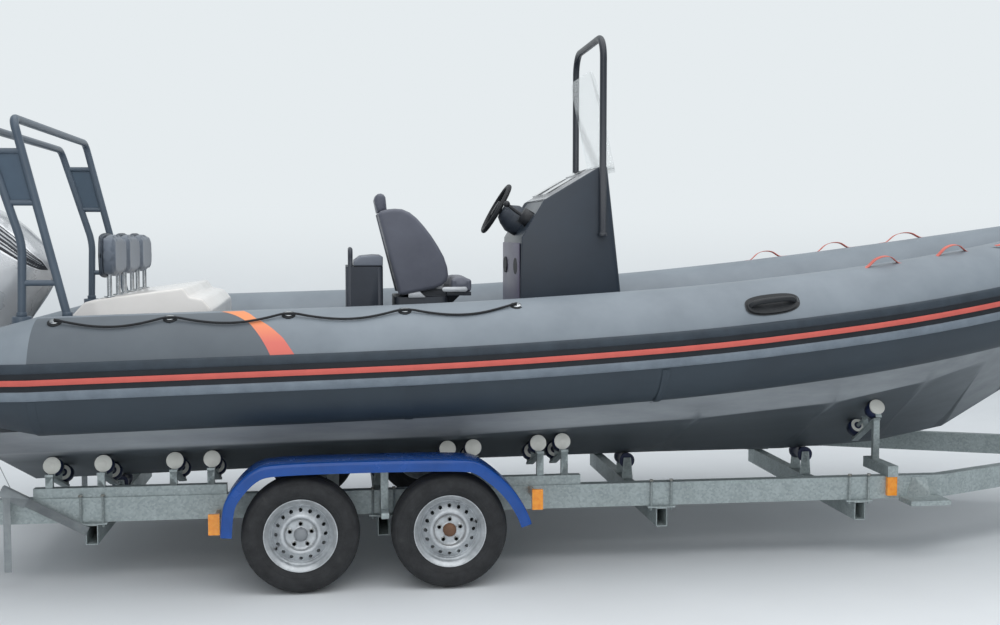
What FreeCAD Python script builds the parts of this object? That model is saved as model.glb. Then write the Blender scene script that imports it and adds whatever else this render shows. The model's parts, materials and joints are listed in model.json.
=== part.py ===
import FreeCAD, Part
import math
import os

# Rigid inflatable boat of about 7 m on the tandem roller trailer that it is parked on.
# Millimetres. +X is the bow, +Y port, +Z up. Heights are above the ground that the tyres stand on.
# Lengthways places are measured from a station just behind the helm seat, and the whole model is
# moved at the end so that its origin lies at the bottom centre of its box.

V = FreeCAD.Vector

# Inflatable collar
TUBE_RADIUS = 293.0
TUBE_CENTRE_Y = 960.0
TUBE_STERN_X = -1480.0
TUBE_STERN_Z = 1083.0
CONE_LENGTH = 590.0
CONE_TIP_RADIUS = 150.0
SHEER_SLOPE = 0.025
SHEER_START_X = 280.0
SHEER_CURVE = 1.9e-5
# columns: x, y of the corners of the tube's centre line
TUBE_CORNERS = [
    (600.0, TUBE_CENTRE_Y),
    (1900.0, TUBE_CENTRE_Y),
    (2900.0, 880.0),
    (3700.0, 690.0),
]
NOSE_X = 4540.0
NOSE_HALF_WIDTH = 270.0

# Rub strake on the outside of the collar
STRAKE_HALF_ANGLE = 17.5
STRAKE_RIDGE_ANGLE = 8.0
STRAKE_THICKNESS = 13.0
STRAKE_GROOVE = 6.0

# Hull
TRANSOM_X = -1750.0
TRANSOM_THICKNESS = 60.0
TRANSOM_TOP_Z = 1045.0
DECK_Z = 990.0
# columns: x, keel z, chine y, chine z, side y, side z, deck y, deck z
HULL_SECTIONS = [
    (TRANSOM_X, 385.0, 880.0, 685.0, 930.0, 800.0, 700.0, DECK_Z),
    (600.0, 440.0, 880.0, 728.0, 930.0, 858.0, 700.0, DECK_Z),
    (1900.0, 455.0, 860.0, 790.0, 925.0, 935.0, 700.0, DECK_Z),
    (2700.0, 457.0, 800.0, 855.0, 880.0, 1035.0, 640.0, DECK_Z),
    (3300.0, 490.0, 680.0, 950.0, 800.0, 1115.0, 520.0, DECK_Z + 140.0),
    (3750.0, 575.0, 530.0, 1050.0, 650.0, 1200.0, 400.0, DECK_Z + 250.0),
    (4140.0, 800.0, 320.0, 1175.0, 420.0, 1290.0, 240.0, DECK_Z + 330.0),
    (4360.0, 1090.0, 90.0, 1290.0, 200.0, 1345.0, 100.0, DECK_Z + 370.0),
]
DECK_THICKNESS = 12.0
# columns: x, y of the deck panel's edge
DECK_EDGE = [(TRANSOM_X + TRANSOM_THICKNESS, 640.0), (1900.0, 640.0), (2658.0, 600.0)]

# Bow locker and its lid step
LOCKER_X = (2660.0, 3350.0)
LOCKER_HALF_WIDTHS = (430.0, 300.0)
LOCKER_TOP_Z = 1330.0
LOCKER_STEP_X = 2860.0
LOCKER_STEP_Z = 1200.0

# Handles, rope and eyes
HANDLE_X = 2195.0
HANDLE_ANGLE = 38.0
STRAP_ANGLE = 82.0
STRAP_X = [2907.0, 3356.0, 3800.0]
GRAB_PADS_X = [-1381.0, -836.0, -264.0, 311.0, 877.0]
GRAB_PAD_ANGLE = 66.0
GRAB_RADIUS = 6.0
GRAB_LIFT = 20.0
GRAB_SAG_LIFT = 12.0
GRAB_PAD_RADIUS = 34.0
GRAB_PAD_RISE = 7.0
GRAB_LUG_RISE = 11.2
# columns: share of the gap, drop in degrees round the tube
GRAB_SAG = [(0.2, 7.0), (0.4, 12.0), (0.6, 12.5), (0.8, 7.5)]
TRANSOM_EYE_Y = 720.0
TRANSOM_EYE_Z = 694.0
TRANSOM_EYE_DEPTH = 48.0
EYE_REACH = 46.0

# Roll bar over the stern
AFRAME_HALF_WIDTH = 850.0
AFRAME_TUBE = 21.0
AFRAME_TOP_X = -1610.0
AFRAME_TOP_Z = 2360.0
AFRAME_FRONT_FOOT_X = -1370.0
AFRAME_REAR_FOOT_X = -1590.0
AFRAME_KINK_Z = 1735.0
AFRAME_REAR_TOP_X = -1760.0
AFRAME_FOOT_RADIUS = 48.0
AFRAME_FOOT_THICKNESS = 14.0
# columns: height of each rung on a side of the roll bar
AFRAME_RUNGS = [2180.0, 1940.0, 1540.0]
AFRAME_PANEL = 5.0
AFRAME_RUNG = 15.0
AFRAME_SIDE_TOP_Z = 2200.0

# Aft bench
BENCH_HALF_WIDTH = 600.0
# columns: x, z of the bench's side outline above the deck
BENCH_OUTLINE = [
    (-1430.0, 1330.0),
    (-1340.0, 1428.0),
    (-1225.0, 1450.0),
    (-835.0, 1500.0),
    (-805.0, 1452.0),
    (-735.0, 1441.0),
    (-690.0, 1385.0),
]
BACKREST_COUNT = 3
BACKREST_PITCH = 440.0
BACKREST_WIDTH = 415.0
BACKREST_X = -1215.0
BACKREST_THICKNESS = 85.0
BACKREST_HEIGHT = 245.0
BACKREST_BOTTOM_Z = 1548.0
BACKREST_LEG_RADIUS = 13.0
BACKREST_LEG_SPREAD = 250.0

# Seat pod behind the helm seat
POD_X = (20.0, 232.0)
POD_HALF_WIDTH = 240.0
POD_TOP_Z = 1600.0
POD_CUSHION = 60.0
POD_HOOP_RADIUS = 13.0
POD_HOOP_HEIGHT = 95.0

# Helm seat
SEAT_HALF_WIDTH = 265.0
SEAT_WING = 70.0
# columns: x, z of the seat's wing, from its rear top round to its rear foot
SEAT_WING_OUTLINE = [
    (204.0, 1905.0),
    (318.0, 1930.0),
    (400.0, 1908.0),
    (475.0, 1830.0),
    (545.0, 1720.0),
    (608.0, 1575.0),
    (590.0, 1515.0),
    (545.0, 1478.0),
    (318.0, 1432.0),
]
SEAT_SHELL_THICKNESS = 95.0
SEAT_CUSHION_TOP_Z = 1560.0
SEAT_HEADREST_X = (184.0, 262.0)
SEAT_HEADREST_TOP_Z = 2022.0
SEAT_BASE_X = (300.0, 600.0)
SEAT_BASE_TOP_Z = 1425.0
BOLSTER_X = (560.0, 742.0)
BOLSTER_Z = (1432.0, 1530.0)

# Console
CONSOLE_HALF_WIDTH = 375.0
# columns: x, z of the console's side panel, from the foot of its aft face round to the bow side
CONSOLE_OUTLINE = [
    (1000.0, DECK_Z + DECK_THICKNESS),
    (1010.0, 1765.0),
    (1136.0, 1977.0),
    (1452.0, 2165.0),
    (1506.0, 2168.0),
    (1530.0, 1975.0),
    (1640.0, DECK_Z + DECK_THICKNESS),
]
CONSOLE_PANEL = 25.0
DASH_INSET = 12.0
UPRIGHT_X = 1470.0
UPRIGHT_RADIUS = 20.0
UPRIGHT_FOOT_Z = 1780.0
UPRIGHT_TOP_Z = 2900.0
UPRIGHT_CORNER = 130.0
SCREEN_FOOT = (1545.0, 2150.0)
SCREEN_HEAD = (1420.0, 2720.0)
SCREEN_HALF_WIDTH = 355.0
SCREEN_CORNER = 120.0
SCREEN_THICKNESS = 6.0

# Helm
HELM_ANGLE = 60.0
WHEEL_HUB = V(912.0, 0.0, 1935.0)
STEER_RADIUS = 165.0
STEER_RIM = 14.0
STEER_HUB_RADIUS = 48.0
HELM_POD_RADIUS = 85.0
THROTTLE_Y = -215.0

# Outboard engine, drawn upright and then tilted up to its parked angle
TILT_AXIS = V(-1812.0, 0.0, 1112.0)
TILT_PARKED = 28.0
STEER_AXIS_BACK = 135.0
CLAMP_HALF_GAP = 92.0
CLAMP_PLATE = 26.0
SWIVEL_RADIUS = 46.0
SWIVEL_Z = (790.0, 1130.0)
YOKE_THICKNESS = 34.0
COWL_HALF_WIDTH = 225.0
COWL_Z = (1205.0, 1790.0)
COWL_FRONT_X = -1850.0
COWL_LENGTH = 590.0
COWL_REAR_X = COWL_FRONT_X - COWL_LENGTH
PLATE_Z = 450.0
PROP_Z = 235.0
PROP_X = -2400.0
PROP_RADIUS = 185.0
PROP_HUB_RADIUS = 52.0
TORPEDO_RADIUS = 62.0

# Trailer
WHEEL_RADIUS = 294.5
WHEEL_X = (-214.0, 528.0)
WHEEL_Y = 1100.0
TYRE_WIDTH = 185.0
RIM_RADIUS = 166.0
RIM_FLANGE_RADIUS = 182.5
RIM_HALF_WIDTH = 70.0
RAIL_Y = 820.0
RAIL_WIDTH = 60.0
RAIL_Z = (320.0, 445.0)
RAIL_REAR_X = -1950.0
RAIL_KINK_X = 3300.0
DRAWBAR_X = (5020.0, 5720.0)
DRAWBAR_SIZE = 100.0
AXLE_SIZE = 70.0
AXLE_AHEAD = 150.0
STUB_RADIUS = 18.0
FIT = 0.3
# columns: x of the cross members under the rails
CROSS_X = [-1270.0, 205.0, 1700.0, 2823.0]
CROSS_SIZE = (60.0, 100.0)
CLAMP_THICKNESS = 10.0
DRUM_DEPTH = 60.0
VENT_COUNT = 16
VENT_CIRCLE = 122.0
VENT_RADIUS = 9.5
STUD_COUNT = 5
STUD_CIRCLE = 56.0

# Mudguards over both wheels of a side
GUARD_WIDTH = 220.0
GUARD_THICKNESS = 5.0
GUARD_LIP = 30.0
GUARD_STAY_X = 205.0
# columns: x, z of the folds, from the rear end over the wheels to the front end
GUARD_LINE = [
    (-602.0, 289.0),
    (-588.0, 484.0),
    (-450.0, 611.0),
    (-310.0, 668.0),
    (-215.0, 684.0),
    (640.0, 680.0),
    (735.0, 645.0),
    (835.0, 545.0),
    (905.0, 440.0),
    (936.0, 337.0),
]
MARKER_PLACES = [(-640.0, 345.0), (985.0, 425.0), (3010.0, 391.0)]

# Cradles with the hull's rollers
CRADLE_Y = 815.0
CRADLE_WIDTH = 50.0
CRADLE_Z = (RAIL_Z[1], RAIL_Z[1] + 50.0)
CRADLE_X = [(-1560.0, -600.0), (480.0, 1260.0)]
ROLLER_X = [-1484.0, -1229.0, -869.0, -680.0, 552.0, 690.0, 1043.0, 1175.0]
ROLLER_Y = (470.0, 700.0)
ROLLER_RADIUS = 47.0
ROLLER_WIDTH = 64.0
KEEL_ROLLER_RADIUS = 34.0
KEEL_ROLLER_WIDTH = 150.0
BRIDGE_X = 3010.0
BRIDGE_Y = 560.0
BOW_ROLLER_Y = (360.0, 600.0)
BOW_POST_Y = 650.0

# Winch, bow stop and jockey wheel
WINCH_X = 4720.0
WINCH_TOP_Z = 1090.0
STOP_ARM_Z = (892.0, 936.0)
JOCKEY = V(5360.0, 96.0, 0.0)
JOCKEY_RADIUS = 105.0
JOCKEY_WIDTH = 64.0
JOCKEY_TRAIL = 40.0


def box(x, y, z):
    """A block between two places on each axis."""
    return Part.makeBox(x[1] - x[0], y[1] - y[0], z[1] - z[0], V(x[0], y[0], z[0]))


def rod(start, end, radius):
    """A round bar between two points."""
    return Part.makeCylinder(radius, (end - start).Length, start, end - start)


def fused(shapes):
    """The shapes as one."""
    shapes = list(shapes)
    whole = shapes[0].multiFuse(shapes[1:]).removeSplitter() if len(shapes) > 1 else shapes[0]
    return whole.Solids[0] if len(whole.Solids) == 1 else whole


def joined(shapes):
    """Separate solids kept side by side in one piece."""
    solids = []
    for shape in shapes:
        solids.extend(shape.Solids)
    return Part.makeCompound(solids)


def mirrored(shape):
    """The same shape on the other side of the centre plane."""
    return shape.mirror(V(0, 0, 0), V(0, 1, 0))


def both(shape):
    """The shape and its mirror image, side by side."""
    return joined([shape, mirrored(shape)])


def face_of(points):
    """A flat face inside a closed outline."""
    return Part.Face(Part.makePolygon(list(points) + [points[0]]))


def side_plate(outline, y):
    """An outline in x and z, drawn out between two places across the boat."""
    face = face_of([V(px, y[0], pz) for px, pz in outline])
    return face.extrude(V(0, y[1] - y[0], 0))


def plan_plate(outline, z):
    """An outline in x and y, drawn out between two heights."""
    face = face_of([V(px, py, z[0]) for px, py in outline])
    return face.extrude(V(0, 0, z[1] - z[0]))


def turned(profile, centre, axis):
    """A closed outline of (along, radius), turned about an axis through the centre."""
    face = face_of([V(radius, 0, along) for along, radius in profile])
    solid = face.revolve(V(0, 0, 0), V(0, 0, 1), 360)
    solid.Placement = FreeCAD.Placement(centre, FreeCAD.Rotation(V(0, 0, 1), axis))
    return solid


def offset_line(points, distance):
    """A second line of (x, z) points beside an open line, at a distance to its left."""
    normals = []
    for (ax, az), (bx, bz) in zip(points, points[1:]):
        length = math.hypot(bx - ax, bz - az)
        normals.append(((az - bz) / length, (bx - ax) / length))
    result = []
    for index, (px, pz) in enumerate(points):
        before = normals[max(index - 1, 0)]
        after = normals[min(index, len(normals) - 1)]
        mx, mz = before[0] + after[0], before[1] + after[1]
        scale = distance * 2.0 / (mx * mx + mz * mz)
        result.append((px + mx * scale, pz + mz * scale))
    return result


def strip(points, thickness, y):
    """Sheet of one thickness folded along a line of (x, z) points."""
    return side_plate(points + offset_line(points, thickness)[::-1], y)


def trace(points, last_run_share=1.0, share=0.45):
    """Straight runs and tangent arcs through a line of points, each arc as large as its runs allow."""
    steps = []
    here = points[0]
    for index in range(1, len(points) - 1):
        corner = points[index]
        come = corner - points[index - 1]
        go = points[index + 1] - corner
        go_length = go.Length
        if index == len(points) - 2:
            go_length = go.Length * last_run_share
        reach = share * min(come.Length, go_length)
        come.normalize()
        go.normalize()
        turn = come.getAngle(go)
        radius = reach / math.tan(turn / 2)
        start = corner - come * reach
        normal = come.cross(go).normalize()
        centre = start + normal.cross(come) * radius
        steps.append(("run", here, start))
        steps.append(("arc", centre, normal, math.degrees(turn)))
        here = corner + go * reach
    steps.append(("run", here, points[-1]))
    return steps


def swept(section, steps):
    """A flat section carried along runs and arcs."""
    solids = []
    for step in steps:
        if step[0] == "run":
            move = step[2] - step[1]
            solids.append(section.extrude(move))
            section = section.translated(move)
        else:
            solids.append(section.revolve(step[1], step[2], step[3]))
            section = section.rotated(step[1], step[2], step[3])
    return fused(solids)


def round_bar(points, radius, **how):
    """A round bar bent through a line of points."""
    direction = points[1] - points[0]
    section = Part.Face(Part.Wire(Part.makeCircle(radius, points[0], direction)))
    return swept(section, trace(points, **how))


def tube_z(x):
    """Height of the collar's centre line."""
    rise = max(0.0, x - SHEER_START_X)
    return TUBE_STERN_Z + SHEER_SLOPE * (x - TUBE_STERN_X) + SHEER_CURVE * rise * rise


def tube_line():
    """Centre line of the port half of the collar, from the stern to the nose's middle."""
    rows = [(TUBE_STERN_X, TUBE_CENTRE_Y)] + TUBE_CORNERS + [(NOSE_X, NOSE_HALF_WIDTH)]
    line = [V(x, y, tube_z(x)) for x, y in rows]
    return line + [V(NOSE_X, 0.0, tube_z(NOSE_X))]


def tube_point(x, angle, lift):
    """A point on the port tube's skin: angle up from level on its outer side, lift off the skin."""
    rows = [(TUBE_STERN_X, TUBE_CENTRE_Y)] + TUBE_CORNERS + [(NOSE_X, NOSE_HALF_WIDTH)]
    middle = TUBE_CENTRE_Y
    for (ax, ay), (bx, by) in zip(rows, rows[1:]):
        if ax <= x <= bx:
            middle = ay + (by - ay) * (x - ax) / (bx - ax)
    out = TUBE_RADIUS + lift
    swing = math.radians(angle)
    return V(x, middle + out * math.cos(swing), tube_z(x) + out * math.sin(swing))


def collar():
    """The tube all round, with a tapered cone at each stern end."""
    line = tube_line()
    direction = line[1] - line[0]
    direction.normalize()
    section = Part.Face(Part.Wire(Part.makeCircle(TUBE_RADIUS, line[0], direction)))
    half = swept(section, trace(line, last_run_share=2.0))
    cone_end = line[0] - direction * CONE_LENGTH
    cone = Part.makeCone(TUBE_RADIUS, CONE_TIP_RADIUS, CONE_LENGTH, line[0], direction * -1)
    flat = Part.makeCone(CONE_TIP_RADIUS, CONE_TIP_RADIUS * 0.55, 28.0, cone_end, direction * -1)
    half = half.multiFuse([cone, flat])
    return half.fuse(mirrored(half)).removeSplitter()


def rub_strake():
    """Two ridges and the flat band for the stripe between them, round the collar's outside."""
    line = tube_line()
    start = line[0]
    direction = (line[1] - line[0]).normalize()
    out = V(0, 1, 0)
    up = direction.cross(out).normalize() * -1

    def at(angle, radius):
        swing = math.radians(angle)
        return start + out * (radius * math.cos(swing)) + up * (radius * math.sin(swing))

    inner = TUBE_RADIUS
    ridge = TUBE_RADIUS + STRAKE_THICKNESS
    groove = TUBE_RADIUS + STRAKE_GROOVE
    # columns: angle, radius round the strake's section
    outline = [
        (STRAKE_HALF_ANGLE, inner),
        (STRAKE_HALF_ANGLE - 1.0, ridge),
        (STRAKE_RIDGE_ANGLE, ridge),
        (STRAKE_RIDGE_ANGLE - 1.5, groove),
        (1.5 - STRAKE_RIDGE_ANGLE, groove),
        (-STRAKE_RIDGE_ANGLE, ridge),
        (1.0 - STRAKE_HALF_ANGLE, ridge),
        (-STRAKE_HALF_ANGLE, inner),
    ]
    points = [at(angle, radius) for angle, radius in outline]
    edges = [Part.LineSegment(a, b).toShape() for a, b in zip(points, points[1:])]
    edges.append(Part.Arc(points[-1], at(0.0, inner), points[0]).toShape())
    section = Part.Face(Part.Wire(edges))
    half = swept(section, trace(line, last_run_share=2.0))
    return half.fuse(mirrored(half)).removeSplitter()


def hull(collar_shape):
    """Keel, chines and topsides as one closed body, seated against the collar, with its transom."""
    wires = []
    for x, keel_z, chine_y, chine_z, side_y, side_z, deck_y, deck_z in HULL_SECTIONS:
        half = [(chine_y, chine_z), (side_y, side_z), (deck_y, deck_z)]
        ring = [V(x, 0, keel_z)] + [V(x, y, z) for y, z in half]
        ring += [V(x, -y, z) for y, z in reversed(half)]
        wires.append(Part.makePolygon(ring + [ring[0]]))
    body = Part.makeLoft(wires, True, True)
    wall_x = (TRANSOM_X, TRANSOM_X + TRANSOM_THICKNESS)
    wall = box(wall_x, (-700.0, 700.0), (DECK_Z - 40.0, TRANSOM_TOP_Z))
    return body.fuse(wall).cut(collar_shape).removeSplitter().Solids[0]


def cockpit_deck():
    """Floor panel laid on the hull."""
    edge = DECK_EDGE + [(x, -y) for x, y in reversed(DECK_EDGE)]
    return plan_plate(edge, (DECK_Z, DECK_Z + DECK_THICKNESS))


def bow_locker():
    """Step and locker in the bow."""
    outline = [
        (LOCKER_X[0], DECK_Z),
        (LOCKER_X[0], LOCKER_STEP_Z),
        (LOCKER_STEP_X, LOCKER_STEP_Z),
        (LOCKER_STEP_X + 30.0, LOCKER_TOP_Z),
        (LOCKER_X[1], LOCKER_TOP_Z + 25.0),
        (LOCKER_X[1], DECK_Z),
    ]
    tall = side_plate(outline, (-LOCKER_HALF_WIDTHS[0], LOCKER_HALF_WIDTHS[0]))
    rear, front = LOCKER_HALF_WIDTHS
    plan = plan_plate(
        [(LOCKER_X[0], rear), (LOCKER_X[1], front), (LOCKER_X[1], -front), (LOCKER_X[0], -rear)],
        (DECK_Z, LOCKER_TOP_Z + 60.0),
    )
    return tall.common(plan)


def moulded_handle(x, angle):
    """Black moulded lifting handle on a pad."""
    left = tube_point(x - 100.0, angle, 38.0)
    right = tube_point(x + 100.0, angle, 38.0)
    left_foot = tube_point(x - 125.0, angle, -2.0)
    right_foot = tube_point(x + 125.0, angle, -2.0)
    bar = round_bar([left_foot, left, right, right_foot], 15.0)
    pad = box((-142.0, 142.0), (-58.0, 58.0), (-16.0, 8.0))
    pad = pad.makeFillet(44.0, upright_edges(pad))
    along = right - left
    pad.rotate(V(0, 0, 0), V(0, 1, 0), -math.degrees(math.atan2(along.z, along.x)))
    pad.rotate(V(0, 0, 0), V(1, 0, 0), angle - 90.0)
    pad.translate(tube_point(x, angle, 0.0))
    return fused([bar, pad])


def strap_handle(x, angle):
    """Webbing strap sewn to two patches."""
    points = []
    for share, lift in ((-1.0, -2.0), (-0.72, 32.0), (0.0, 50.0), (0.72, 32.0), (1.0, -2.0)):
        points.append(tube_point(x + share * 95.0, angle, lift))
    return round_bar(points, 9.0)


def bend_radii(points):
    """Radius of each bend that trace makes of a line of points."""
    return [(step[1] - start[2]).Length for start, step in zip(trace(points)[::2], trace(points)[1::2])]


def grab_points():
    """Points of the rope along the tube's top, hanging in a shallow loop between its pads."""
    points = []
    for index, x in enumerate(GRAB_PADS_X):
        points.append(tube_point(x, GRAB_PAD_ANGLE, GRAB_LIFT))
        if x != GRAB_PADS_X[-1]:
            gap = GRAB_PADS_X[index + 1] - x
            for share, drop in GRAB_SAG:
                points.append(tube_point(x + share * gap, GRAB_PAD_ANGLE - drop, GRAB_SAG_LIFT))
    return points


def grab_pad(x):
    """Round patch with a small lug that the rope runs through."""
    foot = tube_point(x, GRAB_PAD_ANGLE, -4.0)
    patch = rod(foot, tube_point(x, GRAB_PAD_ANGLE, GRAB_PAD_RISE), GRAB_PAD_RADIUS)
    low = tube_point(x, GRAB_PAD_ANGLE - 1.5, -4.0)
    lug = rod(low, tube_point(x, GRAB_PAD_ANGLE - 1.5, GRAB_LUG_RISE), 9.0)
    return fused([patch, lug])


def stem_point(share):
    """A point on the stem between the last two hull sections."""
    (ax, az), (bx, bz) = [(row[0], row[1]) for row in HULL_SECTIONS[-2:]]
    return V(ax + (bx - ax) * share, 0, az + (bz - az) * share)


def bow_eye_middle():
    """Middle of the bow eye's bar, clear of the stem."""
    return stem_point(0.81) + stem_normal() * EYE_REACH


def stem_normal():
    """Direction forward and down out of the stem."""
    along = stem_point(1.0) - stem_point(0.0)
    return V(along.z, 0, -along.x).normalize()


def bow_eye():
    """U-bolt in the stem, for the winch."""
    lower = stem_point(0.70)
    upper = stem_point(0.92)
    forward = stem_normal() * EYE_REACH
    return round_bar([lower - forward * 0.2, lower + forward, upper + forward, upper - forward * 0.2], 7.0)


def transom_eye():
    """U-bolt in the transom for the tie-down strap."""
    centre = V(TRANSOM_X, TRANSOM_EYE_Y, TRANSOM_EYE_Z)
    back = V(-TRANSOM_EYE_DEPTH, 0, 0)
    half = V(0, 0, 26.0)
    inside = V(6.0, 0, 0)
    return round_bar(
        [centre - half + inside, centre - half + back, centre + half + back, centre + half + inside], 6.0
    )


def aframe_side():
    """Port side of the roll bar: two bent legs, rungs, and a panel between the upper rungs."""
    y = AFRAME_HALF_WIDTH
    foot_z = aframe_foot_z()
    front_foot = V(AFRAME_FRONT_FOOT_X, y, foot_z)
    top_z = AFRAME_SIDE_TOP_Z + 20.0
    front_top = V(AFRAME_TOP_X, y, top_z)
    rear_foot = V(AFRAME_REAR_FOOT_X, y, foot_z)
    rear_kink = V(AFRAME_REAR_FOOT_X + 10.0, y, AFRAME_KINK_Z)
    rear_top = V(AFRAME_REAR_TOP_X, y, top_z)
    legs = [
        rod(front_foot, front_top, AFRAME_TUBE),
        round_bar([rear_foot, rear_kink, rear_top], AFRAME_TUBE),
    ]

    def front_x(z):
        return front_foot.x + (front_top.x - front_foot.x) * (z - foot_z) / (front_top.z - foot_z)

    def rear_x(z):
        if z < AFRAME_KINK_Z:
            return rear_foot.x
        share = (z - rear_kink.z) / (rear_top.z - rear_kink.z)
        return rear_kink.x + (rear_top.x - rear_kink.x) * share

    for z in AFRAME_RUNGS:
        legs.append(rod(V(rear_x(z), y, z), V(front_x(z), y, z), AFRAME_RUNG))
    high, low = AFRAME_RUNGS[0], AFRAME_RUNGS[1]
    panel = [(rear_x(low), low), (front_x(low), low), (front_x(high), high), (rear_x(high), high)]
    legs.append(side_plate(panel, (y - AFRAME_PANEL / 2, y + AFRAME_PANEL / 2)))
    for foot in (front_foot, rear_foot):
        legs.append(rod(foot - V(0, 0, AFRAME_FOOT_THICKNESS + 40.0), foot, AFRAME_FOOT_RADIUS))
    above = box((-3000.0, 0.0), (y - 100.0, y + 100.0), (AFRAME_SIDE_TOP_Z, top_z + 100.0))
    return fused(legs).cut(above)


def aframe_foot_z():
    """Height of the roll bar's foot plates, over the collar's top."""
    return tube_z(AFRAME_FRONT_FOOT_X) + TUBE_RADIUS + AFRAME_FOOT_THICKNESS - 20.0


def aframe_top():
    """Two cross tubes that bend down onto the sides."""
    bars = []
    for x, top_z in ((AFRAME_TOP_X, AFRAME_TOP_Z), (AFRAME_REAR_TOP_X, AFRAME_TOP_Z - 45.0)):
        y = AFRAME_HALF_WIDTH
        low = AFRAME_SIDE_TOP_Z
        bars.append(
            round_bar([V(x, y, low), V(x, y, top_z), V(x, -y, top_z), V(x, -y, low)], AFRAME_TUBE, share=0.32)
        )
    link_z = AFRAME_TOP_Z - 30.0
    for y in (-560.0, 560.0):
        bars.append(rod(V(AFRAME_REAR_TOP_X, y, link_z), V(AFRAME_TOP_X, y, link_z), AFRAME_RUNG))
    return fused(bars)


def aft_bench():
    """Moulded bench across the stern."""
    foot = DECK_Z + DECK_THICKNESS
    outline = [(BENCH_OUTLINE[0][0], foot)] + BENCH_OUTLINE + [(BENCH_OUTLINE[-1][0], foot)]
    return side_plate(outline, (-BENCH_HALF_WIDTH, BENCH_HALF_WIDTH))


def bench_top_z(x):
    """Height of the bench's top at a place along the boat."""
    for (ax, az), (bx, bz) in zip(BENCH_OUTLINE, BENCH_OUTLINE[1:]):
        if ax <= x <= bx:
            return az + (bz - az) * (x - ax) / (bx - ax)
    return BENCH_OUTLINE[0][1]


def backrests():
    """Three padded backrests on pairs of legs."""
    pads = []
    for index in range(BACKREST_COUNT):
        y = (index - (BACKREST_COUNT - 1) / 2) * BACKREST_PITCH
        low = BACKREST_BOTTOM_Z
        high = low + BACKREST_HEIGHT
        rear = BACKREST_X - BACKREST_THICKNESS / 2
        front = BACKREST_X + BACKREST_THICKNESS / 2
        half = BACKREST_WIDTH / 2
        outline = [(rear + 10.0, low), (front, low), (front - 12.0, high), (rear, high)]
        pad = side_plate(outline, (y - half, y + half))
        pad = pad.makeFillet(22.0, pad.Edges)
        pieces = [pad]
        for side in (-0.5, 0.5):
            leg_y = y + side * BACKREST_LEG_SPREAD
            foot = V(BACKREST_X, leg_y, bench_top_z(BACKREST_X) - 4.0)
            pieces.append(rod(foot, V(BACKREST_X, leg_y, low + 30.0), BACKREST_LEG_RADIUS))
            pieces.append(rod(foot, foot + V(0, 0, 12.0), BACKREST_LEG_RADIUS * 2.2))
        pads.append(fused(pieces))
    return joined(pads)


def seat_pod():
    """Box seat behind the helm, with a hoop on its rear edge."""
    foot = DECK_Z + DECK_THICKNESS
    body = box(POD_X, (-POD_HALF_WIDTH, POD_HALF_WIDTH), (foot, POD_TOP_Z))
    body = body.makeFillet(30.0, upright_edges(body))
    y = POD_HALF_WIDTH - 40.0
    x = POD_X[0] + 28.0
    low = POD_TOP_Z - 30.0
    top = POD_TOP_Z + POD_CUSHION + POD_HOOP_HEIGHT - 60.0
    hoop = round_bar([V(x, y, low), V(x, y, top), V(x, -y, top), V(x, -y, low)], POD_HOOP_RADIUS, share=0.3)
    return fused([body, hoop])


def pod_cushion():
    """Faceted cushion on the seat pod, forward of its hoop."""
    rear = POD_X[0] + 28.0 + POD_HOOP_RADIUS + 4.0
    outline = [
        (rear, POD_TOP_Z),
        (rear + 14.0, POD_TOP_Z + POD_CUSHION),
        (POD_X[1] - 30.0, POD_TOP_Z + POD_CUSHION + 8.0),
        (POD_X[1], POD_TOP_Z + POD_CUSHION - 22.0),
        (POD_X[1], POD_TOP_Z),
    ]
    return side_plate(outline, (-POD_HALF_WIDTH, POD_HALF_WIDTH))


def helm_seat_shell():
    """Bucket of the helm seat: two wings with the back between them, and the headrest on top."""
    half = SEAT_HALF_WIDTH
    wings = [
        side_plate(SEAT_WING_OUTLINE, (half - SEAT_WING, half)),
        side_plate(SEAT_WING_OUTLINE, (-half, SEAT_WING - half)),
    ]
    (top_x, top_z), (low_x, low_z) = SEAT_WING_OUTLINE[0], SEAT_WING_OUTLINE[-1]
    deep = SEAT_SHELL_THICKNESS
    back = [(top_x, top_z), (top_x + deep, top_z + 20.0), (low_x + deep, low_z + 25.0), (low_x, low_z)]
    wings.append(side_plate(back, (SEAT_WING - half - 1.0, half - SEAT_WING + 1.0)))
    wings[0] = wings[0].makeFillet(18.0, outer_edges(wings[0], half))
    wings[1] = wings[1].makeFillet(18.0, outer_edges(wings[1], -half))
    rear, front = SEAT_HEADREST_X
    head = [
        (rear + 22.0, top_z - 6.0),
        (rear, SEAT_HEADREST_TOP_Z - 30.0),
        (rear + 22.0, SEAT_HEADREST_TOP_Z),
        (front - 20.0, SEAT_HEADREST_TOP_Z - 8.0),
        (front, top_z + 10.0),
    ]
    wings.append(side_plate(head, (-130.0, 130.0)))
    return fused(wings)


def upright_edges(shape):
    """The edges of a block that run upwards."""
    return [edge for edge in shape.Edges if abs(edge.Vertexes[0].Z - edge.Vertexes[-1].Z) > 1.0]


def outer_edges(shape, y):
    """The edges of a shape that lie on one plane across the boat."""
    return [edge for edge in shape.Edges if all(abs(vertex.Y - y) < 0.5 for vertex in edge.Vertexes)]


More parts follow.
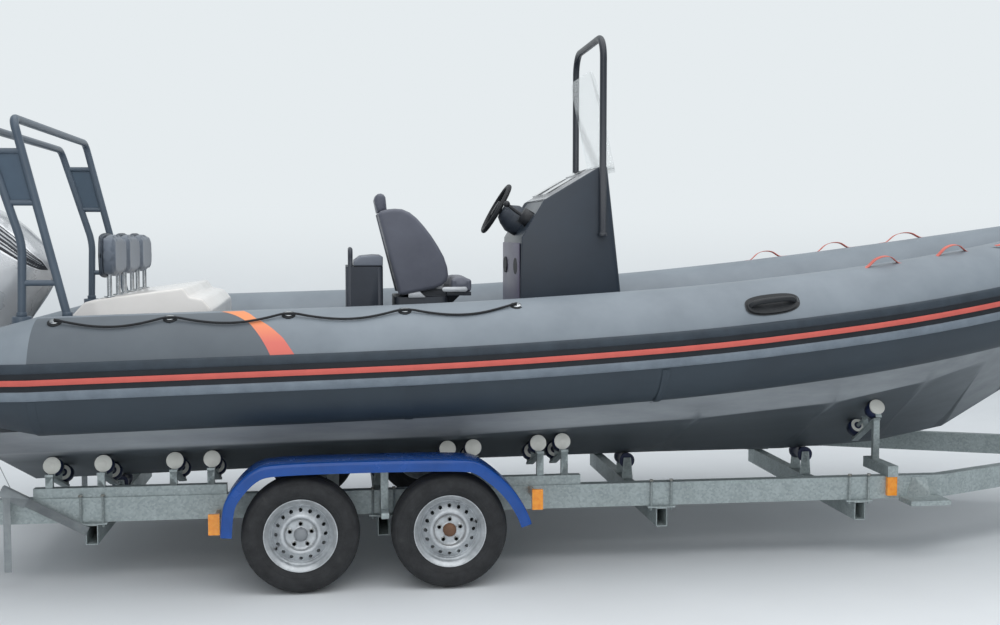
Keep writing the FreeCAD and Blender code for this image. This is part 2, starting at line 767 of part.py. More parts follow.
def helm_seat_cushion():
    """Seat cushion between the wings and the bolster in front of it."""
    inner = SEAT_HALF_WIDTH - SEAT_WING - 0.5
    low_x, low_z = SEAT_WING_OUTLINE[-1]
    rear = low_x + SEAT_SHELL_THICKNESS + 0.5
    front = BOLSTER_X[0] - 1.0
    cushion = side_plate(
        [
            (rear, SEAT_BASE_TOP_Z + 45.0),
            (rear - 8.0, SEAT_CUSHION_TOP_Z),
            (front, SEAT_CUSHION_TOP_Z - 8.0),
            (front, SEAT_BASE_TOP_Z + 45.0),
        ],
        (-inner, inner),
    )
    x, z = BOLSTER_X, BOLSTER_Z
    half = SEAT_HALF_WIDTH
    bolster = side_plate(
        [
            (x[0] + 55.0, z[0] + 22.0),
            (x[0] + 60.0, z[1] - 6.0),
            (x[1] - 50.0, z[1]),
            (x[1], z[1] - 30.0),
            (x[1], z[0] + 22.0),
        ],
        (-half, half),
    )
    return joined([cushion, bolster])


def helm_seat_base():
    """Pedestal under the helm seat, with the tray that carries cushion and bolster."""
    foot = DECK_Z + DECK_THICKNESS
    half = SEAT_HALF_WIDTH - 25.0
    pedestal = box(SEAT_BASE_X, (-half, half), (foot, SEAT_BASE_TOP_Z))
    pedestal = pedestal.makeFillet(35.0, upright_edges(pedestal))
    inner = SEAT_HALF_WIDTH - SEAT_WING - 1.0
    low_x = SEAT_WING_OUTLINE[-1][0] + SEAT_SHELL_THICKNESS + 1.0
    tray = box((low_x, SEAT_BASE_X[1]), (-inner, inner), (SEAT_BASE_TOP_Z - 5.0, SEAT_BASE_TOP_Z + 44.5))
    nose = box((SEAT_BASE_X[1] - 5.0, BOLSTER_X[1] - 6.0), (-half, half), (BOLSTER_Z[0], BOLSTER_Z[0] + 21.5))
    arm = side_plate(
        [
            (SEAT_BASE_X[1] - 5.0, SEAT_BASE_TOP_Z - 90.0),
            (SEAT_BASE_X[1] - 5.0, BOLSTER_Z[0] + 5.0),
            (BOLSTER_X[1] - 40.0, BOLSTER_Z[0] + 5.0),
        ],
        (-60.0, 60.0),
    )
    return fused([pedestal, tray, nose, arm])


def console_body():
    """Side panels, front, aft face and sloping top of the console, open at nothing but its dash."""
    body = side_plate(CONSOLE_OUTLINE, (-CONSOLE_HALF_WIDTH, CONSOLE_HALF_WIDTH))
    front_edges = []
    for edge in body.Edges:
        a, b = edge.Vertexes[0], edge.Vertexes[-1]
        upright = abs(a.Y - b.Y) < 0.1 and min(a.X, b.X) > CONSOLE_OUTLINE[4][0] - 1.0
        if upright and abs(a.Z - b.Z) > 20.0:
            front_edges.append(edge)
    body = body.makeFillet(30.0, front_edges)
    inner = CONSOLE_HALF_WIDTH - CONSOLE_PANEL
    (ax, az), (bx, bz), (cx, cz) = CONSOLE_OUTLINE[1:4]
    deep = DASH_INSET
    recess = [(ax - 5.0, az + 25.0), (bx - 5.0, bz + 30.0), (cx, cz + 40.0), (cx, cz - deep * 2.0)]
    recess += [(bx + deep, bz - deep * 0.4), (ax + deep, az + 25.0)]
    return body.cut(side_plate(recess, (-inner, inner)))


def console_dash():
    """Silver panel with the displays, set into the console's slope."""
    inner = CONSOLE_HALF_WIDTH - CONSOLE_PANEL - 0.5
    (bx, bz), (cx, cz) = CONSOLE_OUTLINE[2:4]
    deep = DASH_INSET
    run = V(cx - bx, 0, cz - bz)
    slope = math.degrees(math.atan2(run.z, run.x))
    length = run.Length - 34.0
    panel = box((0, length), (-inner, inner), (0, 9.0))
    screens = []
    # columns: x, y, length, width of each display on the panel
    for x, y, long, wide in ((40.0, -170.0, 190.0, 280.0), (40.0, 170.0, 190.0, 280.0), (262.0, 0.0, 60.0, 420.0)):
        screens.append(box((x, x + long), (y - wide / 2, y + wide / 2), (8.0, 24.0)))
    shape = fused([panel] + screens)
    shape.rotate(V(0, 0, 0), V(0, 1, 0), -slope)
    shape.translate(V(bx + deep + 8.0, 0, bz - deep * 0.4 + 5.5))
    return shape


def console_frame():
    """Hoop of bent tube on the console's sides, with its feet and clips."""
    y = CONSOLE_HALF_WIDTH + UPRIGHT_RADIUS + 4.0
    foot, top, x = UPRIGHT_FOOT_Z, UPRIGHT_TOP_Z, UPRIGHT_X
    points = [V(x, y, foot), V(x, y, top), V(x, -y, top), V(x, -y, foot)]
    pieces = [round_bar(points, UPRIGHT_RADIUS, share=0.16)]
    for side in (-1.0, 1.0):
        pieces.append(rod(V(x, side * y, foot - 6.0), V(x, side * y, foot + 14.0), UPRIGHT_RADIUS + 6.0))
        for z in (foot + 45.0, foot + 320.0):
            pieces.append(rod(V(x, side * CONSOLE_HALF_WIDTH, z), V(x, side * y, z), 13.0))
    return fused(pieces)


def windscreen():
    """Clear screen with rounded upper corners, standing on the console's top."""
    (foot_x, foot_z), (head_x, head_z) = SCREEN_FOOT, SCREEN_HEAD
    height = math.hypot(head_x - foot_x, head_z - foot_z)
    lean = math.degrees(math.atan2(foot_x - head_x, head_z - foot_z))
    half = SCREEN_HALF_WIDTH
    panel = box((0, SCREEN_THICKNESS), (-half, half), (0, height))
    upper = []
    for edge in panel.Edges:
        a, b = edge.Vertexes[0], edge.Vertexes[-1]
        if abs(a.X - b.X) > 1.0 and a.Z > height - 1.0:
            upper.append(edge)
    panel = panel.makeFillet(SCREEN_CORNER, upper)
    panel.rotate(V(0, 0, 0), V(0, 1, 0), -lean)
    panel.translate(V(foot_x, 0, foot_z))
    return panel.fuse(side_plate(screen_foot_outline(), (-half, half)))


def screen_foot_outline():
    """Section of the strip that holds the screen's lower edge."""
    (foot_x, foot_z) = SCREEN_FOOT
    top = CONSOLE_OUTLINE[4]
    return [
        (top[0] - 30.0, top[1] - 6.0),
        (top[0] - 30.0, top[1] + 12.0),
        (foot_x - 5.0, foot_z + 14.0),
        (foot_x + 8.0, foot_z - 12.0),
        (top[0] + 1.0, top[1] - 6.0),
    ]


def helm_axis():
    """Direction of the steering column, out of the console towards the helmsman."""
    angle = math.radians(HELM_ANGLE)
    return V(-math.sin(angle), 0, math.cos(angle))


def helm_face_point(y=0.0, lift=0.0):
    """A point on the console's helm face, in line with the steering column."""
    (ax, az), (bx, bz) = CONSOLE_OUTLINE[1:3]
    along = V(bx - ax, 0, bz - az).normalize()
    normal = V(-along.z, 0, along.x)
    start = V(ax, y, az)
    axis = helm_axis()
    reach = (WHEEL_HUB - start).dot(normal) / axis.dot(normal)
    return WHEEL_HUB - axis * reach + V(0, y, 0) + normal * lift


def helm_pod():
    """Round housing that carries the steering column."""
    axis = helm_axis()
    face = helm_face_point()
    deep = DASH_INSET + 6.0
    length = (WHEEL_HUB - face).Length - 33.0 - FIT
    # columns: along the column, radius
    profile = [
        (-deep, 0.0),
        (-deep, HELM_POD_RADIUS),
        (length * 0.45, HELM_POD_RADIUS),
        (length * 0.8, HELM_POD_RADIUS * 0.72),
        (length, HELM_POD_RADIUS * 0.45),
        (length, 0.0),
    ]
    return turned(profile, face, axis)


def steering_wheel():
    """Rim, three spokes and hub."""
    axis = helm_axis()
    rim = Part.makeTorus(STEER_RADIUS - STEER_RIM, STEER_RIM, V(0, 0, 0), V(0, 0, 1))
    pieces = [rim, Part.makeCylinder(STEER_HUB_RADIUS, 26.0, V(0, 0, -16.0), V(0, 0, 1))]
    pieces.append(Part.makeCylinder(14.0, 18.0, V(0, 0, -33.0), V(0, 0, 1)))
    for angle in (90.0, 210.0, 330.0):
        spoke = box((0.0, STEER_RADIUS - STEER_RIM), (-13.0, 13.0), (-6.0, 2.0))
        spoke.rotate(V(0, 0, 0), V(0, 0, 1), angle)
        pieces.append(spoke)
    wheel = fused(pieces)
    wheel.Placement = FreeCAD.Placement(WHEEL_HUB, FreeCAD.Rotation(V(0, 0, 1), axis))
    return wheel


def throttle():
    """Control box with its lever, beside the steering wheel."""
    (ax, az), (bx, bz) = CONSOLE_OUTLINE[1:3]
    along = V(bx - ax, 0, bz - az).normalize()
    normal = V(-along.z, 0, along.x)
    centre = V((ax + bx) / 2, THROTTLE_Y, (az + bz) / 2) - normal * (DASH_INSET + 1.0)
    head = centre + normal * 62.0
    base = rod(centre, head, 48.0)
    tip = head + V(-85.0, 0, 62.0)
    lever = round_bar([head - normal * 20.0, head + normal * 28.0, tip], 10.0)
    knob = Part.makeSphere(19.0, tip)
    return fused([base, lever, knob])


def tilted(shape):
    """The shape turned about the tilt axis to the engine's parked angle."""
    return shape.rotated(TILT_AXIS, V(0, 1, 0), TILT_PARKED)


def steer_x():
    """Place of the steering axis along the boat, with the engine upright."""
    return TILT_AXIS.x - STEER_AXIS_BACK


def engine_bracket():
    """Pair of clamp plates hooked over the transom, and the tilt tube between them."""
    plates = []
    rear = TRANSOM_X - FIT
    outline = [
        (TILT_AXIS.x - 34.0, TILT_AXIS.z + 30.0),
        (TILT_AXIS.x + 40.0, TILT_AXIS.z + 34.0),
        (TRANSOM_X + TRANSOM_THICKNESS + 16.0, TRANSOM_TOP_Z + 30.0),
        (TRANSOM_X + TRANSOM_THICKNESS + 16.0, TRANSOM_TOP_Z - 30.0),
        (TRANSOM_X + TRANSOM_THICKNESS, TRANSOM_TOP_Z - 30.0),
        (TRANSOM_X + TRANSOM_THICKNESS, TRANSOM_TOP_Z),
        (rear, TRANSOM_TOP_Z),
        (rear, 800.0),
        (rear - 38.0, 800.0),
        (TILT_AXIS.x - 40.0, 960.0),
    ]
    low, high = CLAMP_HALF_GAP, CLAMP_HALF_GAP + CLAMP_PLATE
    plate = side_plate(outline, (low, high))
    plates.append(plate)
    plates.append(mirrored(plate))
    side = V(0, high + 12.0, 0)
    plates.append(rod(TILT_AXIS - side, TILT_AXIS + side, 18.0))
    brace = box((rear - 30.0, rear), (-low - 1.0, low + 1.0), (815.0, 850.0))
    plates.append(brace)
    return fused(plates)


def engine_swivel():
    """Swivel bracket: it tilts on the tilt tube and holds the steering pivot."""
    x = steer_x()
    low, high = SWIVEL_Z
    tube = rod(V(x, 0, low), V(x, 0, high), SWIVEL_RADIUS)
    half = CLAMP_HALF_GAP - 6.0
    sleeve = rod(TILT_AXIS - V(0, half, 0), TILT_AXIS + V(0, half, 0), 36.0)
    web = side_plate(
        [
            (TILT_AXIS.x - 10.0, TILT_AXIS.z + 26.0),
            (TILT_AXIS.x - 4.0, TILT_AXIS.z - 34.0),
            (x, low + 40.0),
            (x, high - 12.0),
        ],
        (-half * 0.55, half * 0.55),
    )
    body = fused([tube, sleeve, web])
    body = body.cut(rod(TILT_AXIS - V(0, 200, 0), TILT_AXIS + V(0, 200, 0), 18.0 + FIT))
    body = body.cut(rod(V(x, 0, low - 5.0), V(x, 0, high + 5.0), 20.0 + FIT))
    return tilted(body)


def engine_leg():
    """Midsection below the cowl: pan, pivot pin and yokes, drive shaft housing."""
    x = steer_x()
    low, high = SWIVEL_Z
    gap = 1.0
    pieces = []
    pan = plan_plate(leg_plan(x, 0.92), (high + gap + YOKE_THICKNESS - 6.0, COWL_Z[0] - FIT))
    pieces.append(pan)
    rear = x - SWIVEL_RADIUS - 12.0
    for z in (low - gap - YOKE_THICKNESS, high + gap):
        yoke = rod(V(x, 0, z), V(x, 0, z + YOKE_THICKNESS), SWIVEL_RADIUS + 4.0)
        arm = box((rear - 60.0, x), (-52.0, 52.0), (z, z + YOKE_THICKNESS))
        pieces.extend([yoke, arm])
    pieces.append(rod(V(x, 0, low - gap - 4.0), V(x, 0, high + gap + 4.0), 20.0))
    # columns: height, front x, rear x, half width of the housing
    sections = [
        (high + gap + YOKE_THICKNESS, rear, COWL_REAR_X + 150.0, 150.0),
        (1000.0, rear, COWL_REAR_X + 210.0, 110.0),
        (low - 40.0, rear - 6.0, COWL_REAR_X + 250.0, 74.0),
        (PLATE_Z, rear - 30.0, COWL_REAR_X + 250.0, 46.0),
    ]
    pieces.append(loft_down(sections))
    return tilted(fused(pieces))


def leg_plan(x, scale):
    """Plan outline of the engine's pan, rounded towards the steering axis."""
    half = COWL_HALF_WIDTH * scale
    centre = COWL_FRONT_X - COWL_HALF_WIDTH
    points = []
    for degrees in range(-90, 91, 15):
        swing = math.radians(degrees)
        points.append((centre + half * math.cos(swing), half * math.sin(swing)))
    rear = COWL_REAR_X + 40.0
    return points + [(rear + 60.0, half * 0.86), (rear, half * 0.5), (rear, -half * 0.5), (rear + 60.0, -half * 0.86)]


def loft_down(sections):
    """A housing with pointed ends, lofted between heights."""
    wires = []
    for z, front, rear, half in sections:
        length = front - rear
        ring = [
            V(front, half * 0.45, z),
            V(front - length * 0.22, half, z),
            V(rear + length * 0.34, half, z),
            V(rear, half * 0.25, z),
        ]
        ring += [V(p.x, -p.y, z) for p in reversed(ring)]
        wires.append(Part.makePolygon(ring + [ring[0]]))
    return Part.makeLoft(wires, True, True)


def engine_cowl():
    """Cowl of the engine: rounded front, tapered top."""
    # columns: height, share of the full width, front x, rear x
    rows = [
        (COWL_Z[0], 0.95, COWL_FRONT_X, COWL_REAR_X + 30.0),
        (COWL_Z[0] + 130.0, 1.0, COWL_FRONT_X, COWL_REAR_X),
        (COWL_Z[0] + 420.0, 0.96, COWL_FRONT_X - 20.0, COWL_REAR_X + 10.0),
        (COWL_Z[1] - 70.0, 0.84, COWL_FRONT_X - 60.0, COWL_REAR_X + 50.0),
        (COWL_Z[1], 0.60, COWL_FRONT_X - 150.0, COWL_REAR_X + 150.0),
    ]
    wires = []
    for z, share, front, rear in rows:
        half = COWL_HALF_WIDTH * share
        nose = V(front, 0, z)
        side = V(front - half, half, z)
        back = V(rear + half * 0.5, half * 0.92, z)
        tail = V(rear, half * 0.45, z)
        low = [V(p.x, -p.y, z) for p in (side, back, tail)]
        swing = math.sqrt(0.5)
        quarter = V(front - half + half * swing, half * swing, z)
        opposite = V(quarter.x, -quarter.y, z)
        edges = [
            Part.Arc(low[0], opposite, nose).toShape(),
            Part.Arc(nose, quarter, side).toShape(),
            Part.makeLine(side, back),
            Part.makeLine(back, tail),
            Part.makeLine(tail, low[2]),
            Part.makeLine(low[2], low[1]),
            Part.makeLine(low[1], low[0]),
        ]
        wires.append(Part.Wire(edges))
    cowl = Part.makeLoft(wires, True, True)
    return tilted(cowl)


def gearcase():
    """Anti-ventilation plate, bullet, skeg and propeller shaft stub."""
    x = COWL_REAR_X + 250.0
    front = steer_x() - SWIVEL_RADIUS - 42.0
    plate = plan_plate(
        [
            (front, 30.0),
            (front - 120.0, 78.0),
            (x - 120.0, 108.0),
            (x - 190.0, 90.0),
            (x - 190.0, -90.0),
            (x - 120.0, -108.0),
            (front - 120.0, -78.0),
            (front, -30.0),
        ],
        (PLATE_Z - 14.0, PLATE_Z - FIT),
    )
    column = loft_down(
        [(PLATE_Z - 13.0, front, x, 44.0), (PROP_Z + TORPEDO_RADIUS * 0.6, front - 6.0, x - 10.0, 26.0)]
    )
    nose_x = front + 40.0
    rear_x = PROP_X + 74.0
    profile = [
        (0.0, 0.0),
        (12.0, TORPEDO_RADIUS * 0.42),
        (60.0, TORPEDO_RADIUS * 0.82),
        (140.0, TORPEDO_RADIUS),
        (nose_x - rear_x - 60.0, TORPEDO_RADIUS * 0.96),
        (nose_x - rear_x, TORPEDO_RADIUS * 0.80),
        (nose_x - rear_x, 0.0),
    ]
    bullet = turned(profile, V(nose_x, 0, PROP_Z), V(-1, 0, 0))
    skeg = side_plate(
        [
            (front - 30.0, PROP_Z - 30.0),
            (front - 190.0, PROP_Z - 185.0),
            (front - 270.0, PROP_Z - 185.0),
            (x - 10.0, PROP_Z - 30.0),
        ],
        (-7.0, 7.0),
    )
    shaft = rod(V(rear_x + 20.0, 0, PROP_Z), V(PROP_X - 60.0, 0, PROP_Z), 14.0)
    return tilted(fused([plate, column, bullet, skeg, shaft]))


def propeller():
    """Hub with three raked blades."""
    hub = rod(V(PROP_X + 70.0, 0, PROP_Z), V(PROP_X - 55.0, 0, PROP_Z), PROP_HUB_RADIUS)
    pieces = [hub]
    for index in range(3):
        root = PROP_HUB_RADIUS * 0.7
        tip = PROP_RADIUS
        blade_points = [
            V(PROP_X, -52.0, PROP_Z + root),
            V(PROP_X, -92.0, PROP_Z + tip * 0.62),
            V(PROP_X, -60.0, PROP_Z + tip * 0.93),
            V(PROP_X, 8.0, PROP_Z + tip),
            V(PROP_X, 66.0, PROP_Z + tip * 0.86),
            V(PROP_X, 84.0, PROP_Z + tip * 0.55),
            V(PROP_X, 48.0, PROP_Z + root),
        ]
        blade = face_of(blade_points).extrude(V(7.0, 0, 0))
        blade.rotate(V(PROP_X, 0, PROP_Z + tip * 0.5), V(0, 0, 1), 32.0)
        blade.rotate(V(PROP_X, 0, PROP_Z), V(1, 0, 0), 120.0 * index)
        pieces.append(blade)
    body = fused(pieces)
    body = body.cut(rod(V(PROP_X + 90.0, 0, PROP_Z), V(PROP_X - 90.0, 0, PROP_Z), 14.0 + FIT))
    return tilted(body)


def wheel_pieces(x, side):
    """Tyre and rim of one wheel; side is 1 to port and -1 to starboard."""
    tyre = tyre_ring()
    rim = steel_rim()
    placed = []
    for shape in (tyre, rim):
        shape = shape.copy()
        if side < 0:
            shape = mirrored(shape)
        shape.translate(V(x, side * WHEEL_Y, WHEEL_RADIUS))
        placed.append(shape)
    return placed


def tyre_ring():
    """Tyre section turned about the axle, outer face towards +Y."""
    half = TYRE_WIDTH / 2
    bead = RIM_HALF_WIDTH - 0.5
    shoulder = WHEEL_RADIUS - 13.0
    tread = half - 20.0
    middle = WHEEL_RADIUS - 58.0

    def at(along, radius):
        return V(0, along, radius)

    edges = [
        Part.makeLine(at(-bead, RIM_RADIUS), at(-bead, RIM_FLANGE_RADIUS + 4.0)),
        Part.Arc(at(-bead, RIM_FLANGE_RADIUS + 4.0), at(-half, middle), at(-tread, shoulder)).toShape(),
        Part.Arc(at(-tread, shoulder), at(0, WHEEL_RADIUS), at(tread, shoulder)).toShape(),
        Part.Arc(at(tread, shoulder), at(half, middle), at(bead, RIM_FLANGE_RADIUS + 4.0)).toShape(),
        Part.makeLine(at(bead, RIM_FLANGE_RADIUS + 4.0), at(bead, RIM_RADIUS)),
        Part.makeLine(at(bead, RIM_RADIUS), at(-bead, RIM_RADIUS)),
    ]
    face = Part.Face(Part.Wire(edges))
    return face.revolve(V(0, 0, 0), V(0, 1, 0), 360)


def steel_rim():
    """Pressed steel rim with sixteen vents, five studs, cap and brake drum, outer face towards +Y."""
    edge = RIM_HALF_WIDTH
    # columns: along the axle, radius, round the barrel's section
    barrel = [
        (-edge - 6.0, RIM_FLANGE_RADIUS - 6.0),
        (-edge - 6.0, RIM_FLANGE_RADIUS),
        (-edge, RIM_FLANGE_RADIUS),
        (-edge, RIM_RADIUS),
        (-30.0, RIM_RADIUS),
        (-22.0, RIM_RADIUS - 16.0),
        (22.0, RIM_RADIUS - 16.0),
        (34.0, RIM_RADIUS),
        (edge, RIM_RADIUS),
        (edge, RIM_FLANGE_RADIUS),
        (edge + 6.0, RIM_FLANGE_RADIUS),
        (edge + 6.0, RIM_FLANGE_RADIUS - 6.0),
        (edge + 3.0, RIM_FLANGE_RADIUS - 6.0),
        (edge + 3.0, RIM_RADIUS - 4.0),
        (32.0, RIM_RADIUS - 4.0),
        (20.0, RIM_RADIUS - 20.0),
        (-20.0, RIM_RADIUS - 20.0),
        (-28.0, RIM_RADIUS - 4.0),
        (-edge - 3.0, RIM_RADIUS - 4.0),
        (-edge - 3.0, RIM_FLANGE_RADIUS - 6.0),
    ]
    # columns: along the axle, radius, round the dished disc's section
    disc = [
        (12.0, RIM_RADIUS - 18.0),
        (24.0, 136.0),
        (40.0, 112.0),
        (53.0, 96.0),
        (52.0, 86.0),
        (36.0, 74.0),
        (33.0, 0.0),
        (28.0, 0.0),
        (28.0, 76.0),
        (46.0, 90.0),
        (34.0, 108.0),
        (16.0, 132.0),
        (4.0, RIM_RADIUS - 18.0),
    ]
    axis = V(0, 1, 0)
    origin = V(0, 0, 0)
    shape = fused([turned(barrel, origin, axis), turned(disc, origin, axis)])
    vents = []
    for index in range(VENT_COUNT):
        angle = math.radians(360.0 / VENT_COUNT * index)
        place = V(VENT_CIRCLE * math.cos(angle), -5.0, VENT_CIRCLE * math.sin(angle))
        vents.append(Part.makeCylinder(VENT_RADIUS, 80.0, place, axis))
    shape = shape.cut(Part.makeCompound(vents))
    pieces = [shape]
    for index in range(STUD_COUNT):
        angle = math.radians(360.0 / STUD_COUNT * index + 90.0)
        place = V(STUD_CIRCLE * math.cos(angle), 30.0, STUD_CIRCLE * math.sin(angle))
        pieces.append(Part.makeCylinder(9.5, 22.0, place, axis))
    pieces.append(turned([(30.0, 0.0), (30.0, 32.0), (56.0, 30.0), (64.0, 20.0), (64.0, 0.0)], origin, axis))
    pieces.append(turned([(-DRUM_DEPTH, 0.0), (-DRUM_DEPTH, 100.0), (28.5, 100.0), (28.5, 0.0)], origin, axis))
    hub = fused(pieces)
    return hub.cut(Part.makeCylinder(STUB_RADIUS + FIT, DRUM_DEPTH + 15.0, V(0, -DRUM_DEPTH - 1.0, 0), axis))


def chassis_rails():
    """Two box rails that run straight under the hull and then converge to the drawbar."""
    outer = RAIL_Y + RAIL_WIDTH / 2
    inner = RAIL_Y - RAIL_WIDTH / 2
    end_y = DRAWBAR_SIZE / 2
    slope = (end_y - inner) / (DRAWBAR_X[0] - RAIL_KINK_X)
    along = math.hypot(1.0, slope)
    width = RAIL_WIDTH * along
    plan = [
        (RAIL_REAR_X, inner),
        (RAIL_KINK_X, inner),
        (DRAWBAR_X[0], end_y),
        (DRAWBAR_X[0], end_y + width),
        (RAIL_KINK_X + 10.0, outer),
        (RAIL_REAR_X, outer),
    ]
    return both(plan_plate(plan, RAIL_Z))


def cross_members():
    """Box cross tubes clamped under the rails, open at their ends, with clamp plates."""
    pieces = []
    wide, high = CROSS_SIZE
    top = RAIL_Z[0] - CLAMP_THICKNESS
    half = RAIL_Y + RAIL_WIDTH / 2 + 25.0
    for x in CROSS_X:
        tube = box((x - wide / 2, x + wide / 2), (-half, half), (top - high, top))
        bore = box((x - wide / 2 + 4, x + wide / 2 - 4), (-half - 5, half + 5), (top - high + 4, top - 4))
        tube = tube.cut(bore)
        clamps = []
        for side in (-1.0, 1.0):
            y = side * RAIL_Y
            plate = box((x - 75.0, x + 75.0), (y - 52.0, y + 52.0), (top, RAIL_Z[0]))
            clamps.append(plate)
            for bolt_x in (x - 55.0, x + 55.0):
                bolt_y = side * (RAIL_Y + RAIL_WIDTH / 2 + 11.0)
                clamps.append(rod(V(bolt_x, bolt_y, RAIL_Z[0] - 24.0), V(bolt_x, bolt_y, RAIL_Z[1] + 10.0), 6.0))
        pieces.append(fused([tube] + clamps))
    return joined(pieces)


def drawbar():
    """Square tube between the rails' front ends, up to the coupling."""
    half = DRAWBAR_SIZE / 2
    z = (RAIL_Z[0] + 15.0, RAIL_Z[0] + 15.0 + DRAWBAR_SIZE)
    return box((DRAWBAR_X[0] - 420.0, DRAWBAR_X[1]), (-half + FIT, half - FIT), z)


def coupling_z():
    """Height of the drawbar's middle."""
    return RAIL_Z[0] + 15.0 + DRAWBAR_SIZE / 2


def coupling_head():
    """Ball coupling with its cup, handle and overrun bellows, and the hand brake lever."""
    z = coupling_z()
    x = DRAWBAR_X[1]
    body = side_plate([(x, z - 42.0), (x, z + 42.0), (x + 190.0, z + 36.0), (x + 225.0, z - 42.0)], (-38.0, 38.0))
    cup_x = x + 195.0
    dome = Part.makeSphere(46.0, V(cup_x, 0, z - 12.0))
    body = fused([body, dome])
    body = body.cut(Part.makeSphere(25.2, V(cup_x, 0, z - 22.0)))
    body = body.cut(rod(V(cup_x, 0, z - 90.0), V(cup_x, 0, z - 22.0), 25.2))
    handle = round_bar([V(x + 120.0, 0, z + 20.0), V(x + 110.0, 0, z + 92.0), V(x + 10.0, 0, z + 118.0)], 11.0)
    lever = round_bar([V(x - 120.0, 66.0, z), V(x - 110.0, 66.0, z + 90.0), V(x - 60.0, 66.0, z + 330.0)], 12.0)
    pivot = rod(V(x - 120.0, DRAWBAR_SIZE / 2 - FIT, z), V(x - 120.0, 84.0, z), 22.0)
    damper = rod(V(x, 0, z), V(x + 60.0, 0, z), 44.0)
    return joined([fused([body, handle, damper]), fused([lever, pivot])])


def axle_beams():
    """Two square axle beams with trailing arms, stub axles and brake backplates."""
    pieces = []
    top = RAIL_Z[0]
    stub_in = WHEEL_Y - DRUM_DEPTH - 22.0
    for x in WHEEL_X:
        beam_x = x + AXLE_AHEAD
        half = AXLE_SIZE / 2
        beam = box((beam_x - half, beam_x + half), (-stub_in + 46.0, stub_in - 46.0), (top - AXLE_SIZE, top))
        arms = [beam]
        for side in (-1.0, 1.0):
            mid_z = top - half
            tip = V(x, 0, WHEEL_RADIUS)
            root = V(beam_x, 0, mid_z)
            outline = [
                (root.x + 40.0, root.z + 36.0),
                (tip.x - 34.0, tip.z + 34.0),
                (tip.x - 34.0, tip.z - 34.0),
                (root.x + 40.0, root.z - 36.0),
            ]
            ys = sorted((side * (stub_in - 48.0), side * (stub_in - 8.0)))
            arms.append(side_plate(outline, ys))
            end = side * (WHEEL_Y + 10.0)
            arms.append(rod(V(x, side * (stub_in - 9.0), WHEEL_RADIUS), V(x, end, WHEEL_RADIUS), STUB_RADIUS))
            arms.append(
                rod(V(x, side * (stub_in - 9.0), WHEEL_RADIUS), V(x, side * (stub_in + 16.0), WHEEL_RADIUS), 116.0)
            )
        pieces.append(fused(arms))
    return joined(pieces)


def mudguards():
    """Tandem mudguards folded from sheet, with an outer lip, and their stays to the rail."""
    y = (WHEEL_Y - GUARD_WIDTH / 2, WHEEL_Y + GUARD_WIDTH / 2)
    pieces = [strip(GUARD_LINE, -GUARD_THICKNESS, y)]
    pieces.append(strip(GUARD_LINE, -GUARD_LIP, (y[1] - GUARD_THICKNESS, y[1])))
    top_z = max(z for _, z in GUARD_LINE) - GUARD_THICKNESS + 1.0
    rail_side = RAIL_Y + RAIL_WIDTH / 2
    x = GUARD_STAY_X
    arm_z = (RAIL_Z[0] + 40.0, RAIL_Z[0] + 70.0)
    pieces.append(box((x - 20.0, x + 20.0), (rail_side, y[1] - 60.0), arm_z))
    pieces.append(box((x - 20.0, x + 20.0), (y[0] + 30.0, y[0] + 60.0), (arm_z[0], top_z)))
    for place, _ in (GUARD_LINE[1], GUARD_LINE[-2]):
        inward = 1.0 if place < x else -1.0
        arm_x = sorted((place - inward * 2.0, place + inward * 26.0))
        pieces.append(box(arm_x, (rail_side, y[0] + 40.0), (RAIL_Z[1] - 35.0, RAIL_Z[1] - 5.0)))
    return both(fused(pieces))


def hull_bottom_z(x, y):
    """Height of the hull's bottom at a place, between keel and chine."""
    for row, after in zip(HULL_SECTIONS, HULL_SECTIONS[1:]):
        if row[0] <= x <= after[0]:
            share = (x - row[0]) / (after[0] - row[0])
            keel = row[1] + (after[1] - row[1]) * share
            chine_y = row[2] + (after[2] - row[2]) * share
            chine_z = row[3] + (after[3] - row[3]) * share
            return keel + (chine_z - keel) * abs(y) / chine_y
    return HULL_SECTIONS[0][1]


def roller_solid(radius, width):
    """One roller with rounded shoulders and a raised hub, about the Y axis."""
    half = width / 2
    # columns: along, radius
    profile = [
        (-half - 5.0, 10.0 + FIT),
        (-half - 5.0, radius * 0.42),
        (-half, radius * 0.48),
        (-half, radius * 0.8),
        (-half + 8.0, radius),
        (half - 8.0, radius),
        (half, radius * 0.8),
        (half, radius * 0.48),
        (half + 5.0, radius * 0.42),
        (half + 5.0, 10.0 + FIT),
    ]
    return turned(profile, V(0, 0, 0), V(0, 1, 0))


def roller_drop(x, y, radius):
    """How far a roller's axis lies off the hull's bottom, along its normal across the boat."""
    slope = (hull_bottom_z(x + 10.0, y) - hull_bottom_z(x - 10.0, y)) / 20.0
    return radius * math.sqrt(1.0 + slope * slope) + FIT


